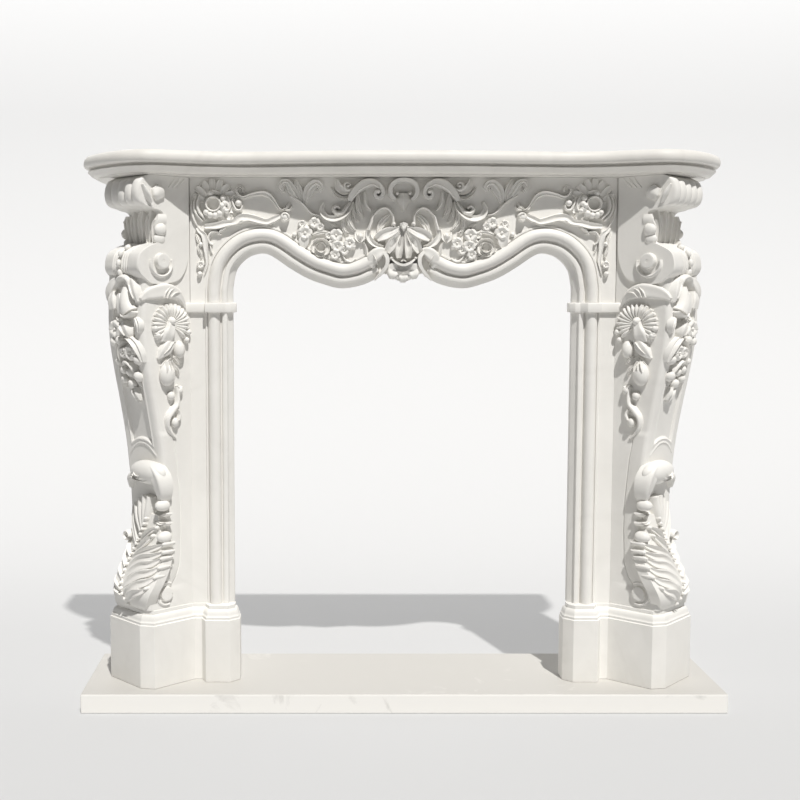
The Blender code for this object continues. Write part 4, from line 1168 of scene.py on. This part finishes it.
def bouquet_carving():
    """Three leaves on a stem, and the run of flowers that lies along the arch."""
    art = Carving(on_frieze, 5)
    table = [
        ([(262, 1181), (244, 1172), (228, 1159), (218, 1147), (207, 1139), (195, 1137)],
         (1.5, 2.4, 2.8, 2.8, 2.6, 1.8), (8, 11, 12, 12, 11, 8), "round"),
        ([(237, 1166), (249, 1183), (259, 1199), (267, 1210), (278, 1211), (283, 1200), (276, 1188)],
         (3, 9, 11, 10, 8, 7, 4), (9, 14, 17, 18, 18, 17, 11), "leaf"),
        ([(235, 1168), (238, 1186), (244, 1202), (250, 1219)], (3, 8, 9, 2.5), (9, 15, 16, 8), "leaf"),
        ([(227, 1160), (222, 1184), (214, 1199), (202, 1208), (191, 1201), (196, 1190)],
         (3, 9, 13, 12, 9, 4), (9, 14, 17, 18, 16, 11), "leaf"),
        # big lower petal, leaves between the flowers, the crescent and the tips over the arch
        ([(227, 1092), (229, 1082), (231, 1068), (232, 1060)], (7, 13, 12, 5), (14, 18, 16, 8), "cup"),
        ([(212, 1091), (190, 1099), (172, 1098)], (3, 7, 3), (9, 12, 8), "leaf"),
        ([(205, 1062), (213, 1052), (217, 1043)], (3, 7, 2), (9, 12, 6), "leaf"),
        ([(188, 1044), (183, 1036), (181, 1029)], (4, 6, 2), (9, 11, 6), "leaf"),
        ([(170, 1046), (167, 1037), (165, 1030)], (4, 6, 2), (9, 11, 6), "leaf"),
        ([(150, 1042), (147, 1034), (144, 1028)], (4, 6, 2), (9, 11, 6), "leaf"),
        ([(139, 1042), (132, 1033), (121, 1030), (110, 1037)], (1.5, 3.4, 3.4, 1.5), (9, 12, 12, 8), "round"),
        ([(131, 1031), (127, 1025), (125, 1019)], (3, 4, 1.5), (8, 9, 5), "leaf"),
        ([(143, 1112), (136, 1102), (133, 1090)], (3, 6, 2), (7, 10, 5), "leaf"),
        ([(170, 1120), (160, 1112), (150, 1110)], (2, 5, 2), (7, 10, 5), "leaf"),
    ]
    art.forms(table)
    art.rose((190.8, 1062.6), 22, 21, 0.4)
    blooms = [
        (226.5, 1095.8, 17, 18, 6, 0.30),
        (205.0, 1119.0, 13, 15, 5, 0.24),
        (234.0, 1117.0, 9, 13, 5, 0.24),
        (192.0, 1110.0, 10, 14, 5, 0.24),
        (155.0, 1091.0, 15, 17, 4, 0.26),
        (152.0, 1065.0, 15, 18, 5, 0.24),
        (163.0, 1073.0, 10, 15, 5, 0.24),
        (124.0, 1072.0, 14, 18, 5, 0.30),
        (158.0, 1046.0, 12, 17, 5, 0.34),
        (136.0, 1056.0, 11, 15, 5, 0.26),
        (172.0, 1090.0, 9, 13, 5, 0.24),
    ]
    for k, (u, v, radius, height, petals, eye) in enumerate(blooms):
        art.flower((u, v), radius, height, petals, math.pi / 4 + 0.6 * k * (petals != 4), eye)
    art.knob((252, 1092), 5.5, 12)
    art.knob((240, 1100), 5, 11)
    art.knob((115, 1064), 6, 15)
    return art.body()


def corner_carving():
    """The pierced shell boss at the frieze's end, its two long arms, and the husk drop below it."""
    art = Carving(on_frieze, 5)
    u = 437
    v = 1162
    for angle in np.radians(20 + 22 * np.arange(11)):
        across = math.cos(angle)
        up = math.sin(angle)
        far = 50 + 6 * max(up, 0)
        path = [(u + wide * across, v + tall * up) for wide, tall in ((24, 26), (40, 44), (far, far + 2))]
        art.blade(path, (6, 10, 7), (9, 13, 8), "spoon")
    table = [
        # petals and crescents round the hole
        ([(452, 1183), (440, 1189), (424, 1187)], (4, 6.5, 4), (15, 20, 15), "cup"),
        ([(414, 1184), (404, 1172), (401, 1156), (408, 1144)], (3, 5.5, 6, 3), (13, 18, 19, 12), "cup"),
        ([(397, 1180), (393, 1164), (386, 1150), (375, 1149), (371, 1160)],
         (2, 3, 3.4, 3.4, 2), (10, 12, 13, 13, 9), "round"),
        ([(467, 1186), (474, 1166), (471, 1145), (456, 1126)], (2, 4.6, 4.6, 2), (11, 16, 16, 9), "round"),
        ([(475, 1184), (482, 1162), (478, 1141), (463, 1123)], (2, 4.2, 4.2, 2), (9, 13, 13, 8), "round"),
        ([(486, 1174), (488.5, 1154), (484, 1130), (473, 1107)], (1.5, 3.6, 3.6, 1.5), (7, 9, 9, 6), "round"),
        # upper arm with its curl and the pointed leaf
        ([(368, 1189), (369, 1197), (378, 1202), (385, 1193), (379, 1181), (368, 1177), (351, 1183),
          (325, 1187), (307, 1180), (295, 1165), (287, 1152), (278, 1148), (271, 1154)],
         (3, 4, 4.2, 4.2, 4, 4, 5, 6, 6, 5, 4, 3.4, 2.5),
         (10, 12, 13, 13, 12, 11, 12, 12, 12, 12, 12, 12, 11), "fold_back"),
        ([(277, 1150), (268, 1155), (263, 1166)], (4, 6, 1.5), (12, 15, 7), "leaf"),
        ([(272, 1148), (262, 1150), (257, 1158)], (3, 4, 1.5), (11, 12, 6), "ridge"),
        # lower ribbon
        ([(458, 1111), (434, 1112), (411, 1118), (390, 1121), (374, 1131),
          (351, 1129), (325, 1122), (312, 1121), (298, 1128), (284, 1135)],
         (6, 9, 9, 8, 9, 10, 10, 9, 8, 6), (14, 17, 17, 17, 17, 16, 15, 15, 15, 14), "cup"),
        ([(452, 1106), (428, 1106), (405, 1112), (385, 1116),
          (360, 1124), (335, 1119), (314, 1116), (298, 1122)],
         (1, 1.8, 1.8, 1.8, 1.8, 1.8, 1.8, 1), (13, 16, 16, 16, 15, 15, 15, 13), "round"),
        # the drop: ribbon, husks and a curl
        ([(476, 1108), (470, 1100), (461, 1092), (457, 1078), (456, 1062),
          (454, 1046), (453, 1030), (457, 1012), (461, 998)],
         (4, 6, 8, 7.5, 6, 5, 4, 3, 1), (11, 14, 15, 14, 13, 12, 11, 9, 5), "cup"),
        ([(478, 1094), (472, 1080), (467, 1066)], (3, 6, 2), (9, 12, 7), "leaf"),
        ([(470, 1078), (472, 1062), (466, 1046), (468, 1036)], (2, 5, 4, 1.5), (8, 11, 10, 6), "leaf"),
        ([(420, 1092), (431, 1099), (444, 1096), (450, 1084), (447, 1073), (440, 1069)],
         (2, 3, 3.2, 3.2, 3, 2), (8, 11, 12, 12, 12, 9), "round"),
        ([(410, 1108), (420, 1102), (428, 1092)], (3, 4, 2), (12, 13, 9), "round"),
        ([(446, 1068), (444, 1056), (441, 1048)], (1.5, 2.6, 1), (8, 8, 4), "round"),
    ]
    art.forms(table)
    for turn, radius in ((75, 8), (150, 8), (178, 8.5), (206, 9), (236, 9), (262, 8.5), (288, 8.5), (312, 8)):
        art.knob(point_about((u, v), 25, math.radians(turn), 1.04), radius, 19)
    art.ring((u + 1, v), 16.5, 3.4, 17)
    art.knob((417, 1158), 7.5, 23)
    art.knob((408, 1146), 6, 20)
    art.knob((380, 1164), 8, 17)
    art.knob((273, 1132), 11.5, 20)
    art.ring((273, 1132), 8, 2.2, 21, first=60, turn=250)
    art.knob((467, 1070), 5.5, 14)
    art.flower((468, 1023), 9, 13, 5, 0.3, 0.3)
    art.knob((470, 1002), 6.2, 13)
    return art.body()


# Pieces

leg_marble = marble("honed white marble", (0.86, 0.845, 0.81), (0.80, 0.785, 0.75))
shelf_marble = marble("shelf marble", (0.85, 0.83, 0.79), (0.79, 0.77, 0.73), 0.35)
# The hearth's top is darkened to its dark colour as painted shade; its sides keep the light tone.
hearth_marble = marble(
    "hearth marble", (0.88, 0.865, 0.83), (0.57, 0.555, 0.525),
    vein=0.10, light_from=0.43, painted_top_shade=0.50, painted_shade_above=HEARTH_EDGE,
)

plinth = dressed("plinth_right_stone", [plinth_body()], leg_marble, "plinth_right")
other_side("plinth_left_stone", plinth, "plinth_left")
dressed("shelf_stone", [shelf_body()], shelf_marble, "shelf")
leg_bodies = [core_body(), shaft_body(), capital_body(), strip_body(), cap_body()]
leg = dressed("leg_right_stone", leg_bodies, leg_marble, "leg_right")
other_side("leg_left_stone", leg, "leg_left")
leg_carving = {
    "foot_leaf": foot_leaf,
    "garland": front_garland,
    "side_shell": side_cluster,
    "capital_eyes": capital_eyes,
    "neck_shell": neck_shell,
    "roll_beads": roll_beads,
}
for part_name, maker in leg_carving.items():
    carved = dressed("leg_right_" + part_name, [maker()], leg_marble)
    other_side("leg_left_" + part_name, carved)
dressed("frieze_stone", [board_body(), mould_body(1), mould_body(-1)], leg_marble, "frieze")
frieze_carving = {"centre": centre_carving, "bouquet": bouquet_carving, "corner": corner_carving}
for part_name, maker in frieze_carving.items():
    carved = dressed("frieze_right_" + part_name, [maker()], leg_marble)
    other_side("frieze_left_" + part_name, carved)
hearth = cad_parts["hearth_slab"]
hearth.data.materials.clear()
hearth.data.materials.append(hearth_marble)


# Floor, light and camera


def studio():
    """A pale floor that sweeps up behind, a sun-like key from the right, and an even fill."""
    bm = bmesh.new()
    bend = [(1.2 + 1.8 * math.sin(a), 1.8 - 1.8 * math.cos(a)) for a in np.radians(np.linspace(0, 90, 40))]
    line = [bm.verts.new((-9, y, z)) for y, z in [(-6, 0)] + bend + [(3.0, 6)]]
    edges = [bm.edges.new(pair) for pair in zip(line[:-1], line[1:])]
    made = bmesh.ops.extrude_edge_only(bm, edges=edges)["geom"]
    bmesh.ops.translate(bm, verts=[g for g in made if isinstance(g, bmesh.types.BMVert)], vec=(18, 0, 0))
    bmesh.ops.translate(bm, verts=bm.verts, vec=(0, 0, -0.0004))
    mesh = bpy.data.meshes.new("studio sweep")
    bm.to_mesh(mesh)
    bm.free()
    for face in mesh.polygons:
        face.use_smooth = True
    paper = Finish("pale paper")
    paper.feed("Base Color", (0.36, 0.36, 0.36, 1))
    paper.feed("Emission Color", (1, 1, 1, 1))
    paper.feed("Emission Strength", 0.30)
    paper.feed("Roughness", 0.9)
    mesh.materials.append(paper.material)
    sweep = bpy.data.objects.new("studio_sweep", mesh)
    bpy.context.scene.collection.objects.link(sweep)
    key = bpy.data.lights.new("key", "SUN")
    key.energy = 3.6
    key.color = (1.0, 0.985, 0.96)
    key.angle = math.radians(1.2)
    lamp = bpy.data.objects.new("key", key)
    azimuth = math.radians(16)
    height = math.radians(57)
    flat = math.cos(height)
    toward = Vector((math.sin(azimuth) * flat, -math.cos(azimuth) * flat, math.sin(height)))
    lamp.rotation_euler = toward.to_track_quat("Z", "Y").to_euler()
    bpy.context.scene.collection.objects.link(lamp)
    wash = bpy.data.lights.new("backdrop wash", "AREA")
    wash.shape = "RECTANGLE"
    wash.size = 9.0
    wash.size_y = 0.8
    wash.energy = 150
    washer = bpy.data.objects.new("backdrop wash", wash)
    washer.location = (0, 1.6, 3.6)
    washer.rotation_euler = (math.radians(72), 0, 0)
    bpy.context.scene.collection.objects.link(washer)
    world = bpy.data.worlds.new("even light")
    world.use_nodes = True
    world.node_tree.nodes["Background"].inputs[0].default_value = (0.97, 0.98, 1.0, 1)
    world.node_tree.nodes["Background"].inputs[1].default_value = 0.06
    bpy.context.scene.world = world
    bpy.context.scene.view_settings.view_transform = "Standard"


def photo_camera():
    """The photograph's view: its focal length, its tilt and its off-centre framing."""
    lens = bpy.data.cameras.new("view")
    lens.sensor_width = 36
    lens.lens = 54.94
    lens.shift_x = 0.1054
    view = bpy.data.objects.new("view", lens)
    view.location = (-0.2023, -2.878, 0.9566)
    view.rotation_euler = (math.radians(90 - 4.98), 0, 0)
    bpy.context.scene.collection.objects.link(view)
    bpy.context.scene.camera = view


studio()
photo_camera()
